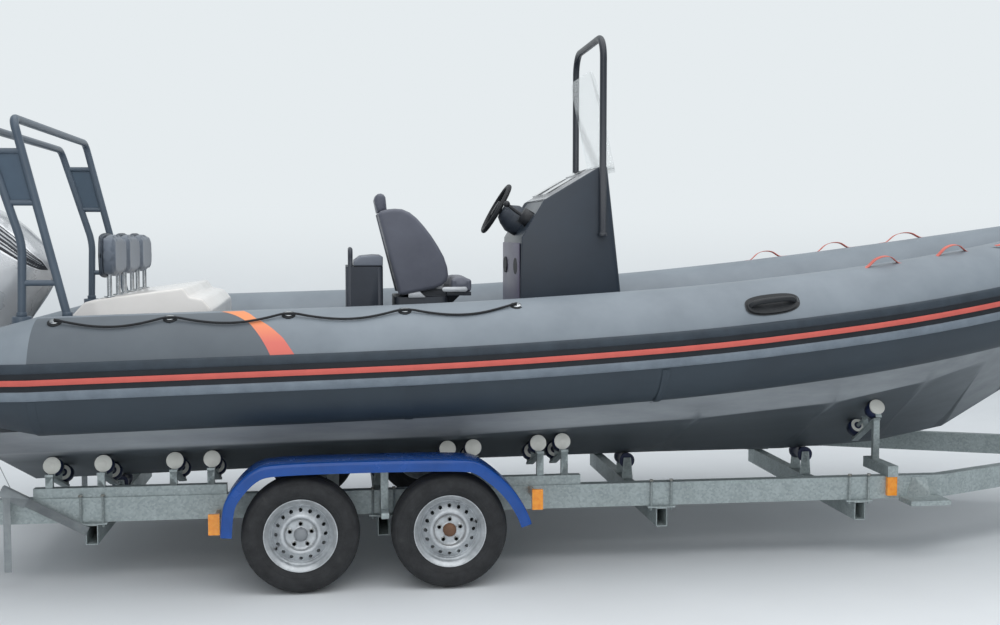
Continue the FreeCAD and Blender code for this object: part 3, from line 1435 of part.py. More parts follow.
def roller_frame(x, ys, post_y, foot_z):
    """Two rollers on a rod under the port side of the hull, with the bar and post that carry them."""
    z_in, z_out = [hull_bottom_z(x, y) for y in ys]
    rise = math.atan2(z_out - z_in, ys[1] - ys[0])
    turn = math.degrees(rise)
    lean = V(0, math.cos(rise), math.sin(rise))
    down = V(0, math.sin(rise), -math.cos(rise))
    centres = [V(x, y, hull_bottom_z(x, y)) + down * roller_drop(x, y, ROLLER_RADIUS) for y in ys]

    def laid(solid, place):
        solid.rotate(V(0, 0, 0), V(1, 0, 0), turn)
        solid.translate(place)
        return solid

    rollers = [laid(roller_solid(ROLLER_RADIUS, ROLLER_WIDTH), centre) for centre in centres]
    reach = ROLLER_WIDTH / 2 + 10.0
    start = centres[0] - lean * reach
    end = centres[1] + lean * reach
    low = start + down * (ROLLER_RADIUS + 14.0)
    long = (post_y + 16.0 - low.y) / lean.y
    pieces = [rod(start - lean * 4.0, end + lean * 4.0, 10.0)]
    pieces.append(laid(box((-20.0, 20.0), (-6.0, long), (-6.0, 6.0)), low))
    cheek = box((-17.0, 17.0), (-2.5, 2.5), (-ROLLER_RADIUS - 15.0, 15.0))
    for place in (start + lean * 2.5, (start + end) * 0.5, end - lean * 2.5):
        pieces.append(laid(cheek.copy(), place))
    top_z = low.z + (post_y - low.y) * math.tan(rise)
    pieces.append(box((x - 18.0, x + 18.0), (post_y - 14.0, post_y + 14.0), (foot_z, top_z)))
    return fused(pieces), rollers


def roller_stations():
    """Frames and rollers of the port cradles."""
    frames = []
    rollers = []
    for x in ROLLER_X:
        frame, pair = roller_frame(x, ROLLER_Y, CRADLE_Y, CRADLE_Z[1] - 8.0)
        frames.append(frame)
        rollers.extend(pair)
    return frames, rollers


def cradles():
    """Cradle beams on the rails, with the frames that carry the hull's rollers."""
    frames, rollers = roller_stations()
    half = CRADLE_WIDTH / 2
    groups = []
    for low, high in CRADLE_X:
        pieces = [box((low, high), (CRADLE_Y - half, CRADLE_Y + half), CRADLE_Z)]
        for frame in frames:
            middle = frame.CenterOfMass.x
            if low < middle < high:
                pieces.append(frame)
        groups.append(fused(pieces))
    return both(joined(groups)), both(joined(rollers))


def keel_support(x, cross_top):
    """A keel roller on its bracket, over a cross member or the front bridge."""
    centre = V(x, 0, hull_bottom_z(x, 0) - roller_drop(x, 0, KEEL_ROLLER_RADIUS))
    # columns: along, radius
    half = KEEL_ROLLER_WIDTH / 2
    profile = [
        (-half, 11.0 + FIT),
        (-half, KEEL_ROLLER_RADIUS + 12.0),
        (-half + 16.0, KEEL_ROLLER_RADIUS + 12.0),
        (-20.0, KEEL_ROLLER_RADIUS),
        (20.0, KEEL_ROLLER_RADIUS),
        (half - 16.0, KEEL_ROLLER_RADIUS + 12.0),
        (half, KEEL_ROLLER_RADIUS + 12.0),
        (half, 11.0 + FIT),
    ]
    roller = turned(profile, centre, V(0, 1, 0))
    side = V(0, half + 12.0, 0)
    pieces = [rod(centre - side, centre + side, 11.0)]
    for sign in (-1.0, 1.0):
        y = sorted((sign * (half + 3.0), sign * (half + 9.0)))
        cheek = side_plate(
            [
                (x - 22.0, centre.z + 18.0),
                (x + 22.0, centre.z + 18.0),
                (x + 34.0, cross_top),
                (x - 34.0, cross_top),
            ],
            y,
        )
        pieces.append(cheek)
    pieces.append(box((x - 34.0, x + 34.0), (-half - 9.0, half + 9.0), (cross_top, cross_top + 4.0)))
    return fused(pieces), roller


def front_support():
    """Outriggers on the rails in front with a pair of bow rollers on each side, and the foot step."""
    x = BRIDGE_X
    z = (RAIL_Z[1], RAIL_Z[1] + 60.0)
    frame, rollers = roller_frame(x, BOW_ROLLER_Y, BOW_POST_Y, z[1] - 8.0)
    beam = box((x - 30.0, x + 30.0), (BRIDGE_Y, RAIL_Y + 60.0), z)
    outrigger = fused([beam, frame])
    step_x = x + 165.0
    step_y = RAIL_Y + RAIL_WIDTH / 2
    bracket = side_plate(
        [
            (step_x - 40.0, RAIL_Z[1] - 10.0),
            (step_x + 40.0, RAIL_Z[1] - 10.0),
            (step_x + 70.0, RAIL_Z[0] + 12.0),
            (step_x - 70.0, RAIL_Z[0] + 12.0),
        ],
        (-step_y - 8.0, -step_y),
    )
    tread = box((step_x - 115.0, step_x + 115.0), (-step_y - 150.0, -step_y), (RAIL_Z[0] - 14.0, RAIL_Z[0] + 12.5))
    step = fused([bracket, tread])
    return joined([both(outrigger), step]), both(joined(rollers))


def winch_post():
    """Post on the drawbar with its brace and the winch's cheek plates."""
    top_z = RAIL_Z[0] + 15.0 + DRAWBAR_SIZE
    x = WINCH_X
    post = box((x - 30.0, x + 30.0), (-40.0, 40.0), (top_z, WINCH_TOP_Z))
    foot = box((x - 90.0, x + 90.0), (-52.0, 52.0), (top_z, top_z + 10.0))
    brace = side_plate(
        [
            (x + 25.0, WINCH_TOP_Z - 260.0),
            (x + 25.0, WINCH_TOP_Z - 200.0),
            (x + 330.0, top_z + 8.0),
            (x + 270.0, top_z),
        ],
        (-20.0, 20.0),
    )
    arm = box((stop_rear_x(), x - 25.0), (-30.0, 30.0), STOP_ARM_Z)
    return fused([post, foot, brace, arm])


def winch():
    """Drum between cheeks, its crank, and the strap to the bow eye."""
    x = WINCH_X
    z = WINCH_TOP_Z
    cheeks = []
    for side in (-1.0, 1.0):
        y = sorted((side * 34.0, side * 38.0))
        cheeks.append(side_plate([(x - 70.0, z), (x + 60.0, z), (x + 40.0, z + 120.0), (x - 40.0, z + 120.0)], y))
    drum = rod(V(x, -38.0, z + 62.0), V(x, 38.0, z + 62.0), 34.0)
    shaft = rod(V(x, -72.0, z + 62.0), V(x, 60.0, z + 62.0), 9.0)
    crank = box((x - 150.0, x + 14.0), (-76.0, -68.0), (z + 48.0, z + 76.0))
    grip = rod(V(x - 136.0, -170.0, z + 62.0), V(x - 136.0, -70.0, z + 62.0), 15.0)
    base = box((x - 70.0, x + 60.0), (-38.0, 38.0), (z, z + 6.0))
    return fused(cheeks + [drum, shaft, crank, grip, base])


def winch_strap():
    """Taut webbing from the drum to the bow eye."""
    eye = bow_eye_middle() + stem_normal() * 8.6
    drum = V(WINCH_X, 0, WINCH_TOP_Z + 62.0)
    come = (eye - drum).normalize()
    start = drum + V(come.z, 0, -come.x) * 36.2
    run = eye - start
    band = box((0, run.Length), (-25.0, 25.0), (-1.5, 1.5))
    tilt = math.degrees(math.atan2(run.z, run.x))
    band.rotate(V(0, 0, 0), V(0, 1, 0), -tilt)
    band.translate(start)
    return band


def stop_rear_x():
    """Where the bow stop ends on its arm."""
    return stem_point(0.5).x + 90.0


def bow_stop():
    """Rubber block that the stem rests against."""
    gap = stem_normal() * FIT
    low = stem_point(0.24) + gap
    high = stem_point(0.55) + gap
    rear = stop_rear_x()
    return side_plate([(low.x, low.z), (high.x, high.z), (rear, high.z), (rear, low.z)], (-62.0, 62.0))


def tail_lamps():
    """Lamp clusters on plates at the rails' rear ends."""
    x = RAIL_REAR_X
    lamps = []
    plate = box((x - 8.0, x), (RAIL_Y - 40.0, RAIL_Y + 240.0), (RAIL_Z[0] + 4.0, RAIL_Z[1] - 6.0))
    lamp = box((x - 52.0, x - 7.0), (RAIL_Y - 10.0, RAIL_Y + 225.0), (RAIL_Z[0] + 14.0, RAIL_Z[1] - 14.0))
    lamp = lamp.makeFillet(12.0, [e for e in lamp.Edges if max(v.X for v in e.Vertexes) < x - 50.0])
    lamps.append(fused([plate, lamp]))
    return both(joined(lamps))


def side_markers():
    """Amber side markers on brackets along the rails."""
    markers = []
    for x, z in MARKER_PLACES:
        y = RAIL_Y + RAIL_WIDTH / 2
        lens = box((x - 28.0, x + 28.0), (WHEEL_Y - 24.0, WHEEL_Y), (z - 52.0, z + 52.0))
        if x > WHEEL_X[1] + 1000.0:
            lens = box((x - 28.0, x + 28.0), (y, y + 24.0), (z - 52.0, z + 52.0))
            markers.append(lens)
            continue
        bracket = box((x - 10.0, x + 10.0), (y, WHEEL_Y - 23.0), (z - 20.0, z + 20.0))
        markers.append(fused([lens, bracket]))
    return both(joined(markers))


def tie_down_strap():
    """Ratchet strap from the transom eye to the rear cross member, with its loose tail."""
    eye = V(TRANSOM_X - 30.0, TRANSOM_EYE_Y, TRANSOM_EYE_Z - 34.5)
    y = RAIL_Y + RAIL_WIDTH / 2 + 32.0
    ratchet = V(-1640.0, y, 470.0)
    hook = V(CROSS_X[0] - 20.0, y, RAIL_Z[0] - CLAMP_THICKNESS - 30.0)
    across = (ratchet - eye).cross(V(1, 0, 0))
    pieces = [band_between(eye, ratchet, 45.0, across)]
    pieces.append(band_between(ratchet, hook, 45.0, (hook - ratchet).cross(V(0, 1, 0))))
    body = box((-70.0, 70.0), (-14.0, 26.0), (-26.0, 26.0))
    run = hook - ratchet
    body.rotate(V(0, 0, 0), V(0, 1, 0), -math.degrees(math.atan2(run.z, run.x)))
    body.translate(ratchet)
    pieces.append(body)
    pieces.append(box((ratchet.x - 50.0, ratchet.x - 14.0), (ratchet.y + 24.0, ratchet.y + 27.0), (90.0, ratchet.z)))
    return both(fused(pieces))


def band_between(start, end, width, across):
    """Flat webbing between two points, its width laid one way."""
    side = across.normalize()
    half = side * (width / 2)
    face = side.cross(end - start).normalize()
    corners = [start + half, start - half, end - half, end + half]
    return face_of([corner - face * 1.5 for corner in corners]).extrude(face * 3.0)


def jockey_post():
    """Outer tube of the jockey wheel, its clamp on the drawbar, and the crank on top."""
    x = JOCKEY.x
    y = JOCKEY.y
    z = coupling_z()
    tube = rod(V(x, y, z - 110.0), V(x, y, z + 330.0), 30.0)
    tube = tube.cut(rod(V(x, y, z - 111.0), V(x, y, z + 300.0), 24.5))
    clamp = box((x - 40.0, x + 40.0), (DRAWBAR_SIZE / 2 - FIT, y - 26.0), (z - 45.0, z + 45.0))
    collar_ring = rod(V(x, y, z - 45.0), V(x, y, z + 45.0), 42.0).cut(rod(V(x, y, z - 50.0), V(x, y, z + 50.0), 29.9))
    crank = round_bar(
        [V(x, y, z + 325.0), V(x, y, z + 365.0), V(x - 130.0, y, z + 365.0), V(x - 130.0, y, z + 430.0)], 8.0
    )
    return fused([tube, clamp, collar_ring, crank])


def jockey_fork():
    """Inner tube with the fork, which turns about the post."""
    x, y = JOCKEY.x, JOCKEY.y
    trail = JOCKEY_TRAIL
    top = coupling_z() + 200.0
    axle_z = JOCKEY_RADIUS
    crown = axle_z + JOCKEY_RADIUS + 18.0
    inner = rod(V(x, y, crown), V(x, y, top), 24.2)
    head = box((x - trail - 28.0, x + 30.0), (y - 48.0, y + 48.0), (crown - 8.0, crown + 2.0))
    pieces = [inner, head]
    for side in (-1.0, 1.0):
        ys = sorted((y + side * 42.0, y + side * 48.0))
        pieces.append(
            side_plate(
                [
                    (x - trail - 24.0, axle_z - 22.0),
                    (x - trail + 24.0, axle_z - 22.0),
                    (x + 30.0, crown),
                    (x - trail - 28.0, crown),
                ],
                ys,
            )
        )
    pieces.append(rod(V(x - trail, y - 56.0, axle_z), V(x - trail, y + 56.0, axle_z), 8.0))
    return fused(pieces)


def jockey_wheel():
    """Solid rubber wheel of the jockey."""
    half = JOCKEY_WIDTH / 2
    radius = JOCKEY_RADIUS
    profile = [
        (-half - 6.0, 8.0 + FIT),
        (-half - 6.0, 26.0),
        (-half, 30.0),
        (-half, radius - 12.0),
        (-half + 12.0, radius),
        (half - 12.0, radius),
        (half, radius - 12.0),
        (half, 30.0),
        (half + 6.0, 26.0),
        (half + 6.0, 8.0 + FIT),
    ]
    return turned(profile, V(JOCKEY.x - JOCKEY_TRAIL, JOCKEY.y, radius), V(0, 1, 0))


def wheel_name(x, side):
    """Plain name of a wheel's place."""
    return ("front" if x == WHEEL_X[1] else "rear") + ("_left" if side > 0 else "_right")


def all_pieces():
    """Every sub-part by its name, in the drawing's own place."""
    nodes = {}
    nodes["collar"] = collar()
    nodes["rub_strake"] = rub_strake()
    nodes["hull"] = hull(nodes["collar"])
    nodes["cockpit_deck"] = cockpit_deck()
    nodes["bow_locker"] = bow_locker().cut(nodes["hull"])
    lifting = [moulded_handle(HANDLE_X, HANDLE_ANGLE)]
    lifting += [strap_handle(x, STRAP_ANGLE) for x in STRAP_X]
    nodes["tube_handles"] = both(joined(lifting)).cut(nodes["collar"])
    line = round_bar(grab_points(), GRAB_RADIUS)
    nodes["grab_line_left"] = line
    nodes["grab_line_right"] = mirrored(line)
    nodes["grab_line_pads"] = both(joined([grab_pad(x) for x in GRAB_PADS_X])).cut(nodes["collar"])
    nodes["towing_eyes"] = joined([bow_eye(), both(transom_eye())]).cut(nodes["hull"])
    side = aframe_side().cut(nodes["collar"])
    nodes["aframe_left"] = side
    nodes["aframe_right"] = mirrored(side)
    nodes["aframe_top"] = aframe_top()
    nodes["aft_bench"] = aft_bench()
    nodes["backrests"] = backrests().cut(nodes["aft_bench"])
    nodes["seat_pod"] = seat_pod()
    nodes["seat_pod_cushion"] = pod_cushion()
    nodes["helm_seat_base"] = helm_seat_base()
    nodes["helm_seat_shell"] = helm_seat_shell()
    nodes["helm_seat_cushion"] = helm_seat_cushion()
    nodes["console_body"] = console_body()
    nodes["console_dash"] = console_dash()
    nodes["console_frame"] = console_frame().cut(nodes["console_body"])
    nodes["windscreen"] = windscreen().cut(nodes["console_body"])
    nodes["helm_pod"] = helm_pod().cut(nodes["console_body"])
    nodes["steering_wheel"] = steering_wheel()
    nodes["throttle"] = throttle().cut(nodes["console_body"])
    nodes["engine_bracket"] = engine_bracket()
    nodes["engine_swivel"] = engine_swivel()
    nodes["engine_leg"] = engine_leg()
    nodes["engine_cowl"] = engine_cowl()
    nodes["gearcase"] = gearcase()
    nodes["propeller"] = propeller()
    for x in WHEEL_X:
        for side in (-1.0, 1.0):
            tyre, rim = wheel_pieces(x, side)
            nodes["tyre_" + wheel_name(x, side)] = tyre
            nodes["rim_" + wheel_name(x, side)] = rim
    nodes["chassis_rails"] = chassis_rails()
    nodes["drawbar"] = drawbar()
    nodes["coupling_head"] = coupling_head()
    nodes["axle_beams"] = axle_beams()
    nodes["mudguards"] = mudguards()
    cradle_frames, hull_rollers = cradles()
    front_frame, front_rollers = front_support()
    keel_frames = []
    keel_rollers = []
    for x, top in keel_places():
        frame, roller = keel_support(x, top)
        keel_frames.append(frame)
        keel_rollers.append(roller)
    nodes["cross_members"] = joined([cross_members()] + keel_frames)
    nodes["roller_cradles"] = cradle_frames
    nodes["hull_rollers"] = joined([hull_rollers, front_rollers] + keel_rollers)
    nodes["front_bridge"] = front_frame
    nodes["winch_post"] = winch_post()
    nodes["winch"] = winch()
    nodes["bow_stop"] = bow_stop()
    nodes["tail_lamps"] = tail_lamps()
    nodes["side_markers"] = side_markers()
    nodes["webbing_straps"] = joined([winch_strap(), tie_down_strap()])
    nodes["jockey_post"] = jockey_post()
    nodes["jockey_fork"] = jockey_fork()
    nodes["jockey_wheel"] = jockey_wheel()
    return nodes


def keel_places():
    """Where each keel roller stands, and the height of what carries it."""
    top = RAIL_Z[0] - CLAMP_THICKNESS
    return [(x, top) for x in CROSS_X]


def length_limits(nodes):
    """Where the model ends in front and behind, from the meshes of the pieces that reach furthest."""
    xs = []
    for name in ("coupling_head", "propeller", "gearcase", "engine_leg", "collar"):
        points, _ = nodes[name].tessellate(1.0)
        xs.extend(point.x for point in points)
    return min(xs), max(xs)


def main():
    nodes = all_pieces()
    low, high = length_limits(nodes)
    shift = V(-(low + high) / 2, 0, 0)
    os.makedirs("parts", exist_ok=True)
    for name, shape in nodes.items():
        shape.translate(shift)
        shape.exportStep("parts/" + name + ".step")
    radii = bend_radii(grab_points())
    print("grab line radius %.1f mm, tightest bends %s mm" % (GRAB_RADIUS, sorted(round(r) for r in radii)[:5]))
    return nodes, shift


NODES, SHIFT = main()
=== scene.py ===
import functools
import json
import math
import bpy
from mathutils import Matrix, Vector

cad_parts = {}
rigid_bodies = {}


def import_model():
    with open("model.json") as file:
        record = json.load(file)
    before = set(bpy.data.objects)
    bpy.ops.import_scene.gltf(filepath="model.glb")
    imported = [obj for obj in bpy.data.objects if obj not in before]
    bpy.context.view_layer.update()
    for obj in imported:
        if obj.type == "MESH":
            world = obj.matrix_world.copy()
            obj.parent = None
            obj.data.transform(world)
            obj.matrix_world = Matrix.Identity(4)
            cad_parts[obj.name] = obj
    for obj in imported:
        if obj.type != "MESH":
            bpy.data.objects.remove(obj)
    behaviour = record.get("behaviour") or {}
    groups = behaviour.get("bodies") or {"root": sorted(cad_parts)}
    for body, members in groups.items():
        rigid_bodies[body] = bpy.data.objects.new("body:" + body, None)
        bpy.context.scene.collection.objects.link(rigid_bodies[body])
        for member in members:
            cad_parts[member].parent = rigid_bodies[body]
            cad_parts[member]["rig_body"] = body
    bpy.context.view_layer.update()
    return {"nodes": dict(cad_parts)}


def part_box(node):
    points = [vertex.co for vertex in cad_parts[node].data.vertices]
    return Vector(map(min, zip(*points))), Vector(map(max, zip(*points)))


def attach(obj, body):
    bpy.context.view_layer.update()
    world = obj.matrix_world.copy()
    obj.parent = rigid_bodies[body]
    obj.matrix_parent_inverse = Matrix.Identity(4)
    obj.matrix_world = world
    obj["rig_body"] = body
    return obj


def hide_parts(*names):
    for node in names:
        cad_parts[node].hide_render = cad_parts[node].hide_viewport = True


bl_info = {
    "name": "Rigid Inflatable Boat on Trailer",
    "version": (1, 0, 0),
    "blender": (4, 5, 0),
    "location": "View3D > Sidebar > Boat",
    "description": "Dresses the fixed model of a rigid inflatable boat on its tandem trailer",
    "category": "Object",
}

import bmesh
import bpy
from mathutils import Matrix, Vector
from mathutils.bvhtree import BVHTree

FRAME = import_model()
NODES = FRAME["nodes"]

# Metres. +X is the bow, +Y port, +Z up. Places along the boat are measured from a station just
# behind the helm seat, which lies SHIFT from the model's own origin.
WHEEL_STATION = -0.214
SHIFT = sum(corner.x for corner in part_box("rim_rear_right")) / 2 - WHEEL_STATION

# Inflatable tube: its section, how far out it runs, where its stern cone starts and how fast the cone narrows
TUBE_RADIUS = 0.293
TUBE_SIDE = 0.960
# station and height of its centre line at the stern
TUBE_STERN = (-1.480, 1.083)
TUBE_END = TUBE_STERN[0]
CONE_SLOPE = (TUBE_RADIUS - 0.150) / 0.590
# The tube rises by a slope, and from a station on by a curve as well.
SHEER_SLOPE = 0.025
SHEER_START = 0.280
SHEER_CURVE = 0.019
# columns: x, y of the corners of the tube's centre line
TUBE_CORNERS = [(0.600, 0.960), (1.900, 0.960), (2.900, 0.880), (3.700, 0.690), (4.540, 0.270)]
# Share of a leg between two corners that a bend takes
BEND_SHARE = 0.45

# columns: angle round the tube, station of the coral sweep's edge
SWEEP_AFT = [(16.0, -0.343), (26.0, -0.367), (36.9, -0.397), (53.9, -0.449), (69.2, -0.521), (84.0, -0.600)]
SWEEP_FORE = [(15.1, -0.224), (24.2, -0.253), (34.8, -0.287), (48.8, -0.351), (63.4, -0.427), (84.0, -0.490)]
# Station of the stern panel's aft edge
CONE_EDGE = -1.477
# Angle round the tube where the strake ends and the glued panels begin
STRAKE_TOP = 17.6
# How far the strake runs on along the stern cone
STRAKE_REACH = 0.190

# Rope along each tube
PAD_STATIONS = [-1.381, -0.836, -0.264, 0.311, 0.877]
PAD_ANGLE = 66.0
ROPE_LIFT = 0.020
ROPE_SAG_LIFT = 0.012
ROPE_DIAMETER = 0.012
# columns: share of the gap between two pads, drop in degrees round the tube
ROPE_SAG = [(0.2, 7.0), (0.4, 12.0), (0.6, 12.5), (0.8, 7.5)]

# Handles on the tube
LIFT_HANDLE = 2.195
LIFT_HANDLE_ANGLE = 38.0
STRAP_STATIONS = [2.907, 3.356, 3.800]
STRAP_ANGLE = 82.0

# Slope of the hull's bottom across the boat, under the cradles and under the bow rollers
CRADLE_RISE = 18.5
BOW_RISE = 30.6
BOW_STATION = 2.4

# Station and height of the dash's lower and upper edge
DASH_FOOT = (1.136, 1.977)
DASH_TOP = (1.452, 2.165)

# Middles of the bench's three doors, and of its three backrests, across the boat
DOOR_PLACES = (-0.39, 0.0, 0.39)
BACKREST_PLACES = (-0.440, 0.0, 0.440)
# Half the width and height of a backrest's pad, how far its shell stands out past it, and the height of its middle
PAD_HALF = (0.199, 0.115)
SHELL_RIM = 0.004
BACKREST_LEVEL = 1.671

# Roll bar: half its width, the reach of its bends, and the heights of the rungs, the panel between the first two
ROLL_BAR_HALF = 0.850
ROLL_BAR_BEND = 0.125
RUNG_LEVELS = (2.195, 1.940, 1.540)

# Wheels: radius of the circle that the five nuts stand on, and of the valve's
NUT_CIRCLE = 0.056
VALVE_CIRCLE = 0.140
MUDGUARD_SHEET = 0.003

# Outboard engine: its tilt tube, and how far it is tilted up when parked
TILT_AXIS = (-1.812, 1.112)
TILT_PARKED = 28.0
COWL_HALF = 0.225

# Camera: it stands on the starboard side, its height and turn read from the photograph
CAMERA_PLACE = (0.0, -7.1, 1.78)
CAMERA_TURN = 7.5
CAMERA_DROP = 3.7
CAMERA_LENS = 43.2

SIDES = (-1.0, 1.0)
UP = Vector((0, 0, 1))
# Vertices nearer to each other than this are one.
MERGE = 0.00002
# Frames that a pad's cloth takes to settle
CLOTH_FRAMES = 20

# What the finishes of a family share. Columns: size in metres of the patches of its colour, ends of its roughness,
# its grain (node, inputs, settings, depth in metres, strength), and the shader's other inputs.
FAMILIES = {
    # Coated tube fabric: synthetic rubber calendered on a polyester weave, dull with a faint weave
    "fabric": (0.30, (0.48, 0.62), ("TexNoise", {"Scale": 260.0}, {}, 0.0004, 0.5), {"Sheen Weight": 0.08}),
    # Moulded rubber: dull, with bloom and fine pores
    "rubber": (0.08, (0.5, 0.7), ("TexNoise", {"Scale": 250.0, "Detail": 3.0}, {}, 0.0003, 0.6),
               {"Specular IOR Level": 0.35}),
    # Gelcoat on laminate: smooth and glossy, with faint waviness and chalking
    "gelcoat": (0.40, (0.12, 0.28), ("TexNoise", {"Scale": 1 / 0.06}, {}, 0.0006, 0.25), {"Coat Weight": 0.25}),
    # Moulded plastic: a fine spark-eroded grain
    "plastic": (0.20, (0.4, 0.55), ("TexNoise", {"Scale": 1 / 0.0012}, {}, 0.0002, 0.5), {}),
    # Thermoformed plastic sheet: glossy where it is clean, hazed by scuffs
    "sheet": (0.15, (0.18, 0.34), ("TexNoise", {"Scale": 1 / 0.006, "Detail": 5.0, "Roughness": 0.7}, {}, 0.0003, 0.3),
              {}),
    # Powder coat: an even satin skin with orange peel a few millimetres across
    "coat": (0.25, (0.32, 0.45), ("TexNoise", {"Scale": 250.0, "Detail": 1.0}, {}, 0.0002, 0.35), {}),
    # Upholstery vinyl: leather grain with creases about 4 mm apart, and a soft sheen
    "vinyl": (0.12, (0.42, 0.6), ("TexVoronoi", {"Scale": 240.0}, {"feature": "DISTANCE_TO_EDGE"}, 0.0006, 0.5),
              {"Sheen Weight": 0.15}),
    # Woven webbing: picks about 3 mm apart across the strap, faded by the sun
    "webbing": (0.06, (0.75, 0.9), ("TexWave", {"Scale": 100.0, "Distortion": 0.5}, {"bands_direction": "DIAGONAL"},
                                    0.0005, 0.6), {"Sheen Weight": 0.2}),
    # Braided polyester rope: strands wind round it, its grain laid on the object's own coordinates
    "rope": (0.02, (0.7, 0.85), ("TexWave", {"Scale": 60.0, "Distortion": 1.0}, {"bands_direction": "DIAGONAL"},
                                 0.0012, 0.8), {}),
    # Non-slip deck panel: diamond grip pressed in at about 20 mm
    "deck": (0.30, (0.6, 0.75), ("TexVoronoi", {"Scale": 50.0, "Randomness": 0.0}, {}, 0.002, 0.6), {}),
    # Metallic lacquer: fine flake under a clear coat
    "lacquer": (0.20, (0.22, 0.34), ("TexNoise", {"Scale": 1 / 0.006, "Detail": 1.0}, {}, 0.00002, 0.1),
                {"Metallic": 0.45, "Coat Weight": 0.5, "Coat Roughness": 0.08}),
    # Silver wheel lacquer on pressed steel: uneven where brake dust has lain
    "wheel": (0.05, (0.26, 0.42), ("TexNoise", {"Scale": 20.0, "Detail": 4.0, "Roughness": 0.6}, {}, 0.0004, 0.3),
              {"Metallic": 0.55}),
    # Bright zinc plate on pressed steel, a little yellowed
    "zinc": (0.03, (0.25, 0.45), None, {"Metallic": 0.9}),
    # Polished stainless bar: glossy, with hairline wear
    "stainless": (0.02, (0.14, 0.3), None, {"Metallic": 1.0}),
    # Brushed alloy strip: a satin grain along its length
    "strip": (0.004, (0.3, 0.45), None, {"Metallic": 0.6}),
    # Display under dark glass: switched off, nearly black and glossy
    "display": (0.10, (0.05, 0.1), None, {"Coat Weight": 0.8}),
}
# How a family's grain, or its patches where it has no grain, is stretched or turned
LAID = {
    "sheet": {"Scale": (0.2, 1.0, 1.0)},
    "strip": {"Scale": (0.05, 1.0, 1.0)},
    "deck": {"Rotation": (0, 0, math.radians(45))},
}


def linear(code, alpha=1.0):
    """An sRGB hex colour as the linear values that shaders take."""
    parts = []
    for start in (0, 2, 4):
        value = int(code[start:start + 2], 16) / 255
        parts.append(value / 12.92 if value <= 0.04045 else ((value + 0.055) / 1.055) ** 2.4)
    return (*parts, alpha)


def at(x, y, z):
    """A place measured from the station behind the helm seat, in the model's own frame."""
    return Vector((x + SHIFT, y, z))


def feed(node, inputs):
    """Gives a node's inputs their values, or links them to the sockets that feed them."""
    for socket, value in inputs.items():
        if isinstance(value, bpy.types.NodeSocket):
            node.id_data.links.new(value, node.inputs[socket])
        else:
            node.inputs[socket].default_value = value


def put(tree, kind, inputs=None, stops=(), **settings):
    """Adds one node and returns its outputs; stops are the places and hex colours along a ramp."""
    node = tree.nodes.new("ShaderNode" + kind)
    for name, value in settings.items():
        setattr(node, name, value)
    feed(node, inputs or {})
    if stops:
        elements = node.color_ramp.elements
        while len(elements) < len(stops):
            elements.new(0.5)
        for element, (place, code) in zip(elements, stops):
            element.position = place
            element.color = linear(code)
    return node.outputs


def blank(name):
    """A material with a bare shader: the material, put for its tree, the shader and the object's coordinates."""
    material = bpy.data.materials.new(name)
    material.use_nodes = True
    material.node_tree.nodes.clear()
    add = functools.partial(put, material.node_tree)
    surface = add("BsdfPrincipled")[0]
    add("OutputMaterial", {"Surface": surface})
    return material, add, surface.node, add("TexCoord")["Object"]


def tinted(add, coords, colours, patch, rough):
    """Shader inputs: a colour and a roughness that wander between two ends over patches of one size."""
    cloud = add("TexNoise", {"Vector": coords, "Scale": 1.0 / patch, "Detail": 4.0, "Roughness": 0.6})[0]
    return {
        "Base Color": add("ValToRGB", {"Fac": cloud}, list(zip((0.3, 0.7), colours)))[0],
        "Roughness": add("MapRange", {0: cloud, 3: rough[0], 4: rough[1]})[0],
    }


def finish(family, name, light, dark, rough=None):
    """A material of one family in its own colours."""
    patch, ends, grain, inputs = FAMILIES[family]
    material, add, shader, coords = blank(name)
    laid = add("Mapping", {"Vector": coords, **LAID[family]})[0] if family in LAID else coords
    feed(shader, {**inputs, **tinted(add, coords if grain else laid, (dark, light), patch, rough or ends)})
    if grain:
        kind, values, settings, depth, strength = grain
        outputs = add(kind, {"Vector": laid, **values}, **settings)
        height = outputs.get("Fac", outputs[0])
        feed(shader, {"Normal": add("Bump", {"Height": height, "Distance": depth, "Strength": strength})[0]})
    return material


